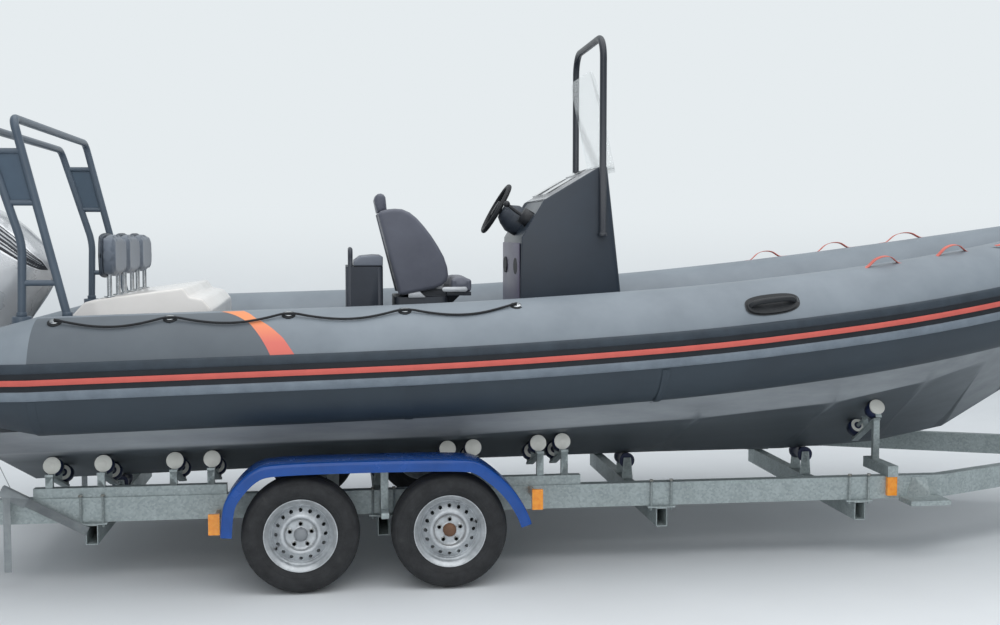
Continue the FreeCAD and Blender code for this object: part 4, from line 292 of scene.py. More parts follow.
def two_tone_fabric():
    """The tube: pale grey fabric above the rub strake, slate below it, parted on the tube's own level."""
    material, add, shader, coords = blank("Two Tone Tube Fabric")
    along, _, height = add("SeparateXYZ", {0: coords})
    step = functools.partial(add, "Math")
    ahead = step({0: along, 1: SHIFT + SHEER_START}, operation="SUBTRACT")[0]
    ahead = step({0: ahead, 1: 0.0}, operation="MAXIMUM")[0]
    square = step({0: ahead, 1: ahead}, operation="MULTIPLY")[0]
    origin_level = TUBE_STERN[1] - SHEER_SLOPE * (SHIFT + TUBE_STERN[0])
    line = step({0: along, 1: SHEER_SLOPE, 2: origin_level}, operation="MULTIPLY_ADD")[0]
    level = step({0: square, 1: SHEER_CURVE, 2: line}, operation="MULTIPLY_ADD")[0]
    above = step({0: height, 1: level}, operation="SUBTRACT")[0]
    cloud = add("TexNoise", {"Vector": coords, "Scale": 1 / 0.35, "Detail": 4.0, "Roughness": 0.6})[0]
    pale = add("ValToRGB", {"Fac": cloud}, [(0.3, "767F87"), (0.7, "858E96")])[0]
    slate = add("ValToRGB", {"Fac": cloud}, [(0.3, "29343E"), (0.7, "313D47")])[0]
    upper = add("MapRange", {0: above, 1: -0.012, 2: -0.008})[0]
    dust = add("TexNoise", {"Vector": coords, "Scale": 20.0, "Detail": 6.0, "Roughness": 0.7})[0]
    dust = add("ValToRGB", {"Fac": dust}, [(0.55, "000000"), (0.9, "2A2A2A")])[0]
    clean = add("Mix", {0: upper, 6: slate, 7: pale}, data_type="RGBA")[2]
    weave = add("TexNoise", {"Vector": coords, "Scale": 260.0})[0]
    feed(shader, {
        "Base Color": add("Mix", {0: dust, 6: clean, 7: linear("9AA0A4")}, data_type="RGBA")[2],
        "Roughness": add("MapRange", {0: cloud, 3: 0.45, 4: 0.6})[0],
        "Normal": add("Bump", {"Height": weave, "Distance": 0.0004, "Strength": 0.5})[0],
    })
    return material


def tyre_rubber():
    """Tyre rubber: near black with brown-grey dust that gathers low in the grooves."""
    material, add, shader, coords = blank("Worn Tyre Rubber")
    dust = add("TexNoise", {"Vector": coords, "Scale": 1 / 0.06, "Detail": 6.0, "Roughness": 0.7})[0]
    pores = add("TexNoise", {"Vector": coords, "Scale": 1 / 0.003})[0]
    feed(shader, {
        "Base Color": add("ValToRGB", {"Fac": dust}, [(0.35, "1E1F21"), (0.62, "2C2D2F"), (0.85, "44423F")])[0],
        "Roughness": 0.78,
        "Normal": add("Bump", {"Height": pores, "Distance": 0.0003, "Strength": 0.6})[0],
    })
    return material


def galvanised():
    """Hot-dip galvanised steel, weathered: spangle a centimetre across, dull oxide and pale drips."""
    material, add, shader, coords = blank("Weathered Galvanised Steel")
    spangle = add("TexVoronoi", {"Vector": coords, "Scale": 90.0})["Color"]
    grey = add("SeparateXYZ", {0: spangle})[0]
    drawn = add("Mapping", {"Vector": coords, "Scale": (1.0, 1.0, 0.35)})[0]
    stain = add("TexNoise", {"Vector": drawn, "Scale": 1 / 0.12, "Detail": 7.0, "Roughness": 0.65})[0]
    base = add("ValToRGB", {"Fac": grey}, [(0.0, "98A2A3"), (1.0, "AEB8B8")])[0]
    dirt = add("ValToRGB", {"Fac": stain}, [(0.42, "000000"), (0.75, "8C8C8C")])[0]
    feed(shader, {
        "Base Color": add("Mix", {0: dirt, 6: base, 7: linear("717979")}, data_type="RGBA")[2],
        "Metallic": 0.35,
        "Roughness": add("MapRange", {0: stain, 3: 0.42, 4: 0.68})[0],
        "Normal": add("Bump", {"Height": stain, "Distance": 0.0006, "Strength": 0.4})[0],
    })
    return material


def mill_alloy():
    """Marine alloy plate, mill finish gone dull: long faint streaks and water marks, with painted shade that darkens
    the faces turned downward.
    """
    material, add, shader, coords = blank("Dull Hull Alloy")
    streaks = add("Mapping", {"Vector": coords, "Scale": (0.25, 1.0, 1.6)})[0]
    cloud = add("TexNoise", {"Vector": streaks, "Scale": 1 / 0.18, "Detail": 6.0, "Roughness": 0.65})[0]
    side = add("ValToRGB", {"Fac": cloud}, [(0.3, "868B90"), (0.7, "A0A5A9")])[0]
    # Painted shade: faces turned downward take this darker colour, standing in for the shade under the hull.
    bottom = add("ValToRGB", {"Fac": cloud}, [(0.3, "4B5359"), (0.7, "5C646A")])[0]
    down = add("SeparateXYZ", {0: add("NewGeometry")["Normal"]})[2]
    painted_shade_share = add("MapRange", {0: down, 1: -0.80, 2: -0.62})[0]
    feed(shader, {
        "Base Color": add("Mix", {0: painted_shade_share, 6: bottom, 7: side}, data_type="RGBA")[2],
        "Metallic": 0.3,
        "Roughness": add("MapRange", {0: cloud, 3: 0.45, 4: 0.62})[0],
        "Normal": add("Bump", {"Height": cloud, "Distance": 0.002, "Strength": 0.3})[0],
    })
    return material


def lens(name, code, glow):
    """Ribbed acrylic lens over a reflector."""
    material, add, shader, coords = blank(name)
    height = add("SeparateXYZ", {0: coords})[2]
    # ribs 7 mm apart
    turns = add("Math", {0: height, 1: 900.0}, operation="MULTIPLY")[0]
    ribs = add("Math", {0: turns}, operation="SINE")[0]
    cloud = add("TexNoise", {"Vector": coords, "Scale": 50.0, "Detail": 3.0})[0]
    feed(shader, {
        "Base Color": add("ValToRGB", {"Fac": cloud}, [(0.3, code), (0.7, glow)])[0],
        "Roughness": 0.15,
        "Coat Weight": 0.6,
        "Normal": add("Bump", {"Height": ribs, "Distance": 0.0006, "Strength": 0.6})[0],
    })
    return material


def clear_acrylic():
    """Clear acrylic sheet with polished edges."""
    material, _, shader, _ = blank("Clear Acrylic Sheet")
    feed(shader, {
        "Base Color": linear("DDE6E8"), "Roughness": 0.03, "IOR": 1.49, "Transmission Weight": 0.95, "Alpha": 0.25,
    })
    return material


def stainless():
    return finish("stainless", "Polished Stainless Steel", "C6C9CB", "A8ABAD")


def zinc_plate():
    return finish("zinc", "Bright Zinc Plate", "B0B0AC", "8F8D82")


def copied(node):
    """A CAD node's mesh with its doubled vertices merged."""
    bm = bmesh.new()
    bm.from_mesh(NODES[node].data)
    bmesh.ops.remove_doubles(bm, verts=bm.verts, dist=MERGE)
    return bm


def rounded(bm, edges, offset, segments=2, clamp=False):
    """Rounds edges off."""
    bmesh.ops.bevel(
        bm, geom=edges, offset=offset, offset_type="OFFSET", affect="EDGES", segments=segments, profile=0.5,
        material=-1, clamp_overlap=clamp,
    )


def dressed(node, material, angle=30.0, edge=0.0):
    """A smoothly shaded copy of a CAD node in a new finish, shown in its place, its edges rounded where edge says."""
    bm = copied(node)
    if edge:
        bmesh.ops.dissolve_limit(bm, angle_limit=math.radians(1.0), verts=bm.verts, edges=bm.edges)
        pairs = [item for item in bm.edges if len(item.link_faces) == 2]
        rounded(bm, [item for item in pairs if item.calc_face_angle(0) > math.radians(35.0)], edge, 3, clamp=True)
    return kept(bm, node + "_skin", material, NODES[node]["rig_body"], [node], angle, turn_faces=False)


def kept(bm, name, material, body="root", stands_for=(), angle=35.0, turn_faces=True):
    """A finished piece from a bmesh: its finish, its body and the nodes that it stands for."""
    if turn_faces:
        bmesh.ops.recalc_face_normals(bm, faces=bm.faces)
    mesh = bpy.data.meshes.new(name)
    bm.to_mesh(mesh)
    bm.free()
    mesh.materials.append(material)
    for face in mesh.polygons:
        face.use_smooth = True
    mesh.set_sharp_from_angle(angle=math.radians(angle))
    piece = bpy.data.objects.new(name, mesh)
    bpy.context.scene.collection.objects.link(piece)
    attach(piece, body)
    if stands_for:
        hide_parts(*stands_for)
    return piece

def between(rows, value):
    """A number read off a table of (value, number) rows, along straight lines."""
    for (low, first), (high, second) in zip(rows, rows[1:]):
        if value <= high:
            return first + (second - first) * max(0.0, (value - low) / (high - low))
    return rows[-1][1]


def level_of(x):
    """Height of the tube's centre line at a station."""
    ahead = max(0.0, x - SHEER_START)
    return TUBE_STERN[1] + SHEER_SLOPE * (x - TUBE_STERN[0]) + SHEER_CURVE * ahead * ahead


def parked(x, y, z):
    """A place on the upright engine, moved to where the parked tilt leaves it."""
    turn = math.radians(TILT_PARKED)
    ahead, above = x - TILT_AXIS[0], z - TILT_AXIS[1]
    moved = ahead * math.cos(turn) + above * math.sin(turn)
    return at(TILT_AXIS[0] + moved, y, TILT_AXIS[1] + above * math.cos(turn) - ahead * math.sin(turn))


def on_tube(x, angle, lift, side=1.0):
    """A point over the tube's skin: angle up from level on its outer side."""
    swing = math.radians(angle)
    out = TUBE_RADIUS + lift
    middle = between([(TUBE_END, TUBE_SIDE)] + TUBE_CORNERS, x)
    return at(x, side * (middle + out * math.cos(swing)), level_of(x) + out * math.sin(swing))


def both_ways(rows):
    """A symmetric outline from its first half, whose last row is its middle."""
    return rows + [(-along, other) for along, other in reversed(rows[:-1])]


def edges_of(verts):
    """The edges that meet some vertices."""
    return list({edge for vert in verts for edge in vert.link_edges})


def parted(geom):
    """The vertices and the edges among what a bmesh operator made."""
    return [[item for item in geom if isinstance(item, kind)] for kind in (bmesh.types.BMVert, bmesh.types.BMEdge)]


def block(bm, low, high, bevel=0.0):
    """A block between two corners with rounded edges."""
    verts = bmesh.ops.create_cube(bm, size=1.0)["verts"]
    bmesh.ops.scale(bm, vec=high - low, verts=verts)
    bmesh.ops.translate(bm, vec=(low + high) / 2, verts=verts)
    if bevel:
        rounded(bm, edges_of(verts), bevel)
    return verts


def placed(place, axis):
    """Moves what stands on the origin to a place, its Z along an axis."""
    return Matrix.Translation(place) @ UP.rotation_difference(axis).to_matrix().to_4x4()


def disc(bm, place, axis, radius, depth, segments=24, bevel=0.0):
    """A short round bar centred on a place, along an axis."""
    verts = bmesh.ops.create_cone(
        bm, cap_ends=True, segments=segments, radius1=radius, radius2=radius, depth=depth, matrix=placed(place, axis),
    )["verts"]
    if bevel:
        rim = [edge for edge in edges_of(verts) if len(edge.link_faces) == 2]
        rounded(bm, [edge for edge in rim if any(len(face.verts) > 4 for face in edge.link_faces)], bevel)


def bolt(bm, place, axis, across=0.017):
    """A hexagon head on its washer, seated at a place and pointing along an axis."""
    disc(bm, place + axis * 0.001, axis, across * 0.72, 0.002, 20)
    disc(bm, place + axis * (0.002 + across * 0.2), axis, across * 0.56, across * 0.4, 6, across * 0.05)


def turned(profile, centre, axis, steps=48):
    """A closed outline of (along, radius), turned about an axis through a centre."""
    bm = bmesh.new()
    verts = [bm.verts.new((radius, 0.0, along)) for along, radius in profile]
    edges = [bm.edges.new(pair) for pair in zip(verts, verts[1:] + verts[:1])]
    bmesh.ops.spin(
        bm, geom=verts + edges, cent=(0, 0, 0), axis=(0, 0, 1), angle=math.tau, steps=steps, use_merge=True,
    )
    bmesh.ops.remove_doubles(bm, verts=bm.verts, dist=0.00001)
    bmesh.ops.transform(bm, matrix=placed(centre, axis), verts=bm.verts)
    return bm


def bar(name, points, radius, order, ring):
    """A round bar as a curve along a smooth line through given points."""
    curve = bpy.data.curves.new(name, "CURVE")
    curve.dimensions = "3D"
    spline = curve.splines.new("NURBS")
    spline.points.add(len(points) - 1)
    for target, place in zip(spline.points, points):
        target.co = (*place, 1.0)
    spline.order_u = order
    spline.use_endpoint_u = True
    spline.resolution_u = 8
    curve.bevel_depth = radius
    curve.bevel_resolution = ring
    curve.use_fill_caps = True
    carrier = bpy.data.objects.new(name, curve)
    bpy.context.scene.collection.objects.link(carrier)
    return carrier


def rounded_tube(name, points, radius, material, order=4, ring=3):
    """A round bar along a smooth line, kept as a mesh."""
    carrier = bar(name + "_line", points, radius, order, ring)
    bpy.context.view_layer.update()
    mesh = bpy.data.meshes.new_from_object(carrier.evaluated_get(bpy.context.evaluated_depsgraph_get()))
    bpy.data.objects.remove(carrier)
    bm = bmesh.new()
    bm.from_mesh(mesh)
    bpy.data.meshes.remove(mesh)
    bmesh.ops.remove_doubles(bm, verts=bm.verts, dist=MERGE)
    return kept(bm, name, material)


def islands(node):
    """Centre and size of each separate solid in a node, from its own mesh."""
    bm = copied(node)
    left = set(bm.verts)
    found = []
    while left:
        front = [left.pop()]
        group = list(front)
        while front:
            for edge in front.pop().link_edges:
                for vert in left.intersection(edge.verts):
                    left.remove(vert)
                    front.append(vert)
                    group.append(vert)
        low, high = [Vector([pick(vert.co[axis] for vert in group) for axis in range(3)]) for pick in (min, max)]
        found.append(((low + high) / 2, high - low))
    bm.free()
    return found


def stuffed(piece, cap):
    """Swells a pad with cloth under pressure, no point moving further than the cap, and smooths it."""
    scene = bpy.context.scene
    remesh = piece.modifiers.new("Remesh", "REMESH")
    remesh.mode = "VOXEL"
    remesh.voxel_size = 0.006
    settle(piece)
    before = [vert.co.copy() for vert in piece.data.vertices]
    cloth = piece.modifiers.new("Cloth", "CLOTH")
    cloth.settings.use_pressure = True
    cloth.settings.uniform_pressure_force = 4.0
    cloth.settings.effector_weights.gravity = 0.0
    cloth.settings.quality = 4
    cloth.point_cache.frame_end = CLOTH_FRAMES
    for frame in range(1, CLOTH_FRAMES + 1):
        scene.frame_set(frame)
    settle(piece)
    scene.frame_set(1)
    for vert, start in zip(piece.data.vertices, before):
        move = vert.co - start
        if move.length > cap:
            vert.co = start + move.normalized() * cap
    subdivision = piece.modifiers.new("Subdivision", "SUBSURF")
    subdivision.levels = subdivision.render_levels = 1
    for face in piece.data.polygons:
        face.use_smooth = True


def settle(piece):
    """Applies a piece's modifiers to its mesh."""
    graph = bpy.context.evaluated_depsgraph_get()
    bpy.context.view_layer.update()
    mesh = bpy.data.meshes.new_from_object(piece.evaluated_get(graph))
    old = piece.data
    piece.modifiers.clear()
    piece.data = mesh
    bpy.data.meshes.remove(old)


def crowned(bm, low, high, crown, bevel=0.02, pull=0.006):
    """A cushion: a rounded block whose faces swell and whose sides pull in between the corners."""
    edges = edges_of(block(bm, low, high))
    bmesh.ops.subdivide_edges(bm, edges=edges, cuts=10, use_grid_fill=True)
    middle, half = (low + high) / 2, (high - low) / 2
    for vert in bm.verts:
        u, v, w = [(vert.co[axis] - middle[axis]) / half[axis] for axis in range(3)]
        rim = [1 - abs(value) ** 2.2 for value in (u, v)]
        vert.co.x += math.copysign(pull, -u) * rim[1] * abs(u)
        vert.co.y += math.copysign(pull, -v) * rim[0] * abs(v)
        vert.co.z += crown * w * rim[0] * rim[1]
    corners = [edge for edge in bm.edges if len(edge.link_faces) == 2 and edge.calc_face_angle(0) > 0.9]
    rounded(bm, corners, bevel, 4)


def pillowed(bm, y, z, half_y, half_z):
    """Draws the four corners of an upright pad in, as its stitching does."""
    for vert in bm.verts:
        across, above = (vert.co.y - y) / half_y, (vert.co.z - z) / half_z
        share = 1 - 0.15 * (across * above) ** 2
        vert.co.y = y + across * half_y * share
        vert.co.z = z + above * half_z * share


def centre_steps():
    """Runs and tangent arcs of the port tube's centre line, from the stern to the nose's middle."""
    rows = [(TUBE_END, TUBE_SIDE)] + TUBE_CORNERS + [(TUBE_CORNERS[-1][0], 0.0)]
    line = [at(x, y, level_of(x)) for x, y in rows]
    steps = []
    here = line[0]
    for index in range(1, len(line) - 1):
        corner = line[index]
        come, go = corner - line[index - 1], line[index + 1] - corner
        doubled = 2.0 if index == len(line) - 2 else 1.0
        reach = BEND_SHARE * min(come.length, go.length * doubled)
        come.normalize()
        go.normalize()
        turn = come.angle(go)
        start = corner - come * reach
        normal = come.cross(go).normalized()
        centre = start + normal.cross(come) * (reach / math.tan(turn / 2))
        steps.append(("run", start - here))
        steps.append(("arc", centre, normal, turn))
        here = corner + go * reach
    steps.append(("run", line[-1] - here))
    return line[0], steps


def swept(bm, ring, steps):
    """Carries a ring of points along runs and arcs, and mirrors the skin to starboard."""
    verts = [bm.verts.new(place) for place in ring]
    edges = list(bm.faces.new(verts).edges)
    for step in steps:
        if step[0] == "run":
            verts, edges = parted(bmesh.ops.extrude_edge_only(bm, edges=edges)["geom"])
            bmesh.ops.translate(bm, vec=step[1], verts=verts)
            edges = [edge for edge in edges if all(vert in verts for vert in edge.verts)]
        else:
            turns = max(4, round(math.degrees(step[3]) / 3.0))
            verts, edges = parted(bmesh.ops.spin(
                bm, geom=verts + edges, cent=step[1], axis=step[2], angle=step[3], steps=turns,
            )["geom_last"])
    port = bm.verts[:] + bm.edges[:] + bm.faces[:]
    bmesh.ops.mirror(bm, geom=port, axis="Y", merge_dist=MERGE)
    bmesh.ops.remove_doubles(bm, verts=bm.verts, dist=0.00005)


def tube_patch(bm, place, cells, side=1.0, lift=0.0012):
    """A patch glued on the tube: place gives station and angle for a share along and up."""
    for vert in bmesh.ops.create_grid(bm, x_segments=cells[0], y_segments=cells[1], size=0.5)["verts"]:
        x, angle = place(vert.co.x + 0.5, vert.co.y + 0.5)
        vert.co = on_tube(x, angle, lift, side)


def round_patch(bm, place, segments):
    """A round patch: place gives a point for each place on a disc of radius 1."""
    for vert in bmesh.ops.create_circle(bm, cap_ends=True, segments=segments, radius=1.0)["verts"]:
        vert.co = place(vert.co.x, vert.co.y)


def ribbon(bm, line, across, width, thickness):
    """Flat webbing along a line of points, its width laid one way."""
    made = bmesh.ops.create_grid(bm, x_segments=len(line) - 1, y_segments=1, size=0.5)["verts"]
    for vert in made:
        index = min(len(line) - 1, round((vert.co.x + 0.5) * (len(line) - 1)))
        vert.co = line[index] + across * (width * vert.co.y)
    faces = list({face for vert in made for face in vert.link_faces})
    bmesh.ops.recalc_face_normals(bm, faces=faces)
    bmesh.ops.solidify(bm, geom=faces, thickness=thickness)


def smooth_line(points, count):
    """Evenly shared points on a smooth line through a few given ones."""
    line = []
    last = len(points) - 1
    for step in range(count + 1):
        place = step / count * last
        index = min(int(place), last - 1)
        share = place - index
        a, b, c, d = [points[max(0, min(last, index + offset))] for offset in (-1, 0, 1, 2)]
        line.append(
            0.5 * ((2 * b) + (c - a) * share + (2 * a - 5 * b + 4 * c - d) * share ** 2
                   + (3 * b - a - 3 * c + d) * share ** 3)
        )
    return line


def drawn_line(points, cuts):
    """A smooth line that follows given points and never swings past them."""
    run = [points[0]] * 2 + list(points) + [points[-1]] * 2
    line = []
    for a, b, c, d in zip(run, run[1:], run[2:], run[3:]):
        for step in range(cuts):
            t = step / cuts
            near = b * (3 * t ** 3 - 6 * t ** 2 + 4) + c * (1 + 3 * t + 3 * t ** 2 - 3 * t ** 3)
            line.append((a * (1 - t) ** 3 + near + d * t ** 3) / 6)
    return line + [points[-1]]


def profiled(bm, rows, across, bevel=0.0, segments=2):
    """A plate from a side outline of (station, height), drawn out between two places across the boat."""
    verts = [bm.verts.new(at(x, across[0], z)) for x, z in rows]
    face = bm.faces.new(verts)
    far = parted(bmesh.ops.extrude_face_region(bm, geom=[face])["geom"])[0]
    bmesh.ops.translate(bm, vec=(0, across[1] - across[0], 0), verts=far)
    if bevel:
        highlight_rims = [edge for edge in edges_of(verts + far) if abs(edge.verts[0].co.y - edge.verts[1].co.y) < 0.0001]
        rounded(bm, highlight_rims, bevel, segments, clamp=True)


def profiled_pair(bm, rows, inner, outer, bevel, segments=2):
    """The same plate on both sides of the boat."""
    for side in SIDES:
        profiled(bm, rows, sorted((side * inner, side * outer)), bevel, segments)


def seat_shell(material):
    """Bucket of the helm seat: two rounded wings, the back between them and the headrest."""
    # columns: station, height round a wing
    wing = [
        (0.205, 1.898), (0.222, 1.916), (0.262, 1.926), (0.300, 1.929), (0.342, 1.926), (0.384, 1.908),
        (0.424, 1.876), (0.466, 1.829), (0.508, 1.774), (0.545, 1.716), (0.578, 1.656), (0.598, 1.596),
        (0.604, 1.548), (0.594, 1.516), (0.570, 1.493), (0.530, 1.474), (0.440, 1.456), (0.345, 1.437),
        (0.320, 1.440),
    ]
    # columns: station, height round the headrest
    head = [
        (0.203, 1.905), (0.187, 1.980), (0.194, 2.004), (0.208, 2.016), (0.226, 2.019), (0.243, 2.012),
        (0.253, 1.996), (0.260, 1.925),
    ]
    back = [(0.210, 1.900), (0.300, 1.922), (0.412, 1.470), (0.328, 1.446)]
    bm = bmesh.new()
    profiled_pair(bm, wing, 0.196, 0.2645, 0.024, 5)
    profiled(bm, back, (-0.200, 0.200), 0.004, 1)
    profiled(bm, head, (-0.129, 0.129), 0.022, 5)
    return kept(bm, "helm_seat_bucket", material, stands_for=["helm_seat_shell"], angle=45.0)


class BoatColours(bpy.types.PropertyGroup):
    """Colours that an owner would choose."""

    stripe: bpy.props.StringProperty(name="Stripe", description="Colour of the stripes, sRGB", default="D4665C")
    mudguard: bpy.props.StringProperty(
        name="Mudguard", description="Colour of the mudguards, sRGB", default="0C4B9C",
    )
    seat: bpy.props.StringProperty(name="Seat", description="Colour of the helm seat's vinyl, sRGB", default="5D606C")
    console: bpy.props.StringProperty(name="Console", description="Colour of the console, sRGB", default="2B3642")


class BoatSizes(bpy.types.PropertyGroup):
    """Sizes of trim that can change without touching the solids."""

    rope: bpy.props.FloatProperty(
        name="Rope", description="Diameter of the grab lines", default=ROPE_DIAMETER, unit="LENGTH",
    )
    seam: bpy.props.FloatProperty(
        name="Seam", description="Width of the tube's seam tapes", default=0.04, unit="LENGTH",
    )
    floor: bpy.props.FloatProperty(name="Floor", description="Width of the floor", default=60.0, unit="LENGTH")


def colours():
    return bpy.context.scene.boat_colours


def sizes():
    return bpy.context.scene.boat_sizes


class BOAT_OT_stage(bpy.types.Operator):
    """Floor with a curved backdrop, soft studio light and the camera"""

    bl_idname = "boat.stage"
    bl_label = "Stage"

    def execute(self, context):
        scene = context.scene
        bm = bmesh.new()
        wide = sizes().floor
        back, top = 11.0, 16.0
        verts = [bm.verts.new((-wide / 2, y, z)) for y, z in ((-wide / 2, 0), (back, 0), (back, top))]
        edges = [bm.edges.new(pair) for pair in zip(verts, verts[1:])]
        far = parted(bmesh.ops.extrude_edge_only(bm, edges=edges)["geom"])[0]
        bmesh.ops.translate(bm, vec=(wide, 0, 0), verts=far)
        rounded(bm, [edge for edge in bm.edges if len(edge.link_faces) == 2], 4.0, 16)
        bmesh.ops.recalc_face_normals(bm, faces=bm.faces)
        mesh = bpy.data.meshes.new("studio_floor")
        bm.to_mesh(mesh)
        bm.free()
        for face in mesh.polygons:
            face.use_smooth = True
        material, add, shader, coords = blank("Pale Studio Floor")
        feed(shader, tinted(add, coords, ("DEE1E3", "E4E7E9"), 1.5, (0.75, 0.85)))
        # The backdrop above the floor shows the photograph's pale sky to the camera and in reflections.
        path = add("LightPath")
        seen = path["Is Camera Ray"]
        for kind in ("Is Glossy Ray", "Is Transmission Ray"):
            seen = add("Math", {0: seen, 1: path[kind]}, operation="MAXIMUM")[0]
        height = add("SeparateXYZ", {0: coords})[2]
        rise = add("MapRange", {0: height, 1: 0.0, 2: 2.2}, interpolation_type="SMOOTHSTEP")[0]
        sky = add("Emission", {"Color": linear("E6ECEF"), "Strength": 1.0})[0]
        share = add("Math", {0: seen, 1: rise}, operation="MULTIPLY")[0]
        mixed = add("MixShader", {0: share, 1: shader.outputs[0], 2: sky})[0]
        output = [node for node in material.node_tree.nodes if node.type == "OUTPUT_MATERIAL"][0]
        feed(output, {"Surface": mixed})
        mesh.materials.append(material)
        floor = bpy.data.objects.new("studio_floor", mesh)
        scene.collection.objects.link(floor)

        world = bpy.data.worlds.new("Soft Daylight")
        scene.world = world
        world.use_nodes = True
        world.node_tree.nodes["Background"].inputs[0].default_value = linear("E9F0F6")
        world.node_tree.nodes["Background"].inputs[1].default_value = 0.62
        # columns: name, place, size, power
        for name, place, size, power in (
            ("overhead_softbox", (0.5, -1.5, 8.5), 12.0, 640.0),
            ("front_fill", (-3.0, -12.0, 5.0), 8.0, 260.0),
        ):
            lamp = bpy.data.lights.new(name, "AREA")
            lamp.shape = "SQUARE"
            lamp.size = size
            lamp.energy = power
            carrier = bpy.data.objects.new(name, lamp)
            carrier.location = place
            carrier.rotation_euler = (Vector((0.5, 0, 0.8)) - Vector(place)).to_track_quat("-Z", "Y").to_euler()
            scene.collection.objects.link(carrier)

        camera = bpy.data.cameras.new("photograph")
        camera.sensor_width = 36.0
        camera.lens = CAMERA_LENS
        carrier = bpy.data.objects.new("photograph", camera)
        carrier.location = at(*CAMERA_PLACE)
        carrier.rotation_euler = (math.radians(90 - CAMERA_DROP), 0, math.radians(-CAMERA_TURN))
        scene.collection.objects.link(carrier)
        scene.camera = carrier
        scene.view_settings.view_transform = "Standard"
        return {"FINISHED"}


class BOAT_OT_tube(bpy.types.Operator):
    """Tube skin, glued panels, the coral sweep and seam tapes"""

    bl_idname = "boat.tube"
    bl_label = "Tube"

    def execute(self, context):
        skin = dressed("collar", two_tone_fabric(), 32.0)

        def sweep(u, v):
            angle = STRAKE_TOP + 66.4 * v
            aft = between(SWEEP_AFT, angle)
            return aft + u * (between(SWEEP_FORE, angle) - aft), angle

        def panel(u, v):
            angle = STRAKE_TOP + 62.0 * v
            return CONE_EDGE + (between(SWEEP_AFT, angle) - 0.001 - CONE_EDGE) * u, angle

        coral, slate, tapes = bmesh.new(), bmesh.new(), bmesh.new()
        half = sizes().seam / 2
        for side in SIDES:
            tube_patch(coral, sweep, (6, 24), side, 0.0016)
            tube_patch(slate, panel, (40, 24), side)
            for x in (-1.462, 0.33, 1.62):
                # columns: lowest angle of a tape, its reach in degrees, rows of faces
                for foot, reach, rows in ((18.5, 120.0, 30), (-88.0, 69.5, 18)):
                    tube_patch(tapes, lambda u, v: (x + (2 * u - 1) * half, foot + reach * v), (1, rows), side, 0.0007)
        material, add, shader, coords = blank("Coral Tube Fabric")
        # Painted highlight: the coral turns lighter and more orange higher up the tube, where its skin turns upward to
        # the light.
        height = add("SeparateXYZ", {0: coords})[2]
        share = add("MapRange", {0: height, 1: 1.26, 2: 1.37})[0]
        coral_with_painted_highlight = add("ValToRGB", {"Fac": share}, [(0.0, "DB6F62"), (1.0, "EE9460")])[0]
        feed(shader, {"Base Color": coral_with_painted_highlight, "Roughness": 0.5})
        kept(coral, "coral_sweep", material)
        kept(slate, "stern_panel", finish("fabric", "Slate Tube Fabric", "5C646B", "525A61"))
        kept(tapes, "seam_tapes", skin.data.materials[0])
        return {"FINISHED"}


class BOAT_OT_strake(bpy.types.Operator):
    """Rub strake with the coral band in its groove"""

    bl_idname = "boat.strake"
    bl_label = "Rub strake"

    def execute(self, context):
        start, steps = centre_steps()
        direction = steps[0][1].normalized()
        out = Vector((0, 1, 0))
        up = out.cross(direction).normalized()
        # The strake runs on over the first part of the cone, seated a little into it.
        over_cone = direction * STRAKE_REACH + out * (STRAKE_REACH * CONE_SLOPE + 0.002)
        # columns: angle, radius round a ridge's section
        ridge = [
            (STRAKE_TOP, 0.2928), (17.3, 0.2985), (16.4, 0.3030), (14.6, 0.3054), (12.3, 0.3059), (10.3, 0.3053),
            (8.9, 0.3030), (8.1, 0.2990), (8.0, 0.2928),
        ]
        groove = [(8.1, 0.2985), (-8.1, 0.2985), (-8.1, 0.2930), (8.1, 0.2930)]
        band = [(2.7, 0.2980), (2.6, 0.3020), (2.0, 0.3036), (-2.0, 0.3036), (-2.6, 0.3020), (-2.7, 0.2980)]
        black = finish("rubber", "Black Strake Groove", "23282E", "1B1F24")
        for name, section, material, slot in (
            ("strake_upper", ridge, finish("rubber", "Pale Strake Rubber", "7C8791", "6C7680"), "strake_rubber"),
            ("strake_lower", [(-angle, radius) for angle, radius in reversed(ridge)],
             finish("rubber", "Slate Strake Rubber", "3A444D", "2E3740"), "strake_rubber"),
            ("strake_groove", groove, black, "strake_rubber"),
            ("coral_band", band, finish("rubber", "Coral Stripe Rubber", colours().stripe, "C95F56"), "coral_fabric"),
        ):
            ring = []
            for angle, radius in section:
                swing = math.radians(angle)
                round_by = out * (radius * math.cos(swing)) + up * (radius * math.sin(swing))
                ring.append(start - over_cone + round_by)
            bm = bmesh.new()
            swept(bm, ring, [("run", over_cone)] + steps)
            kept(bm, name, material, stands_for=["rub_strake"], angle=50.0)
        return {"FINISHED"}


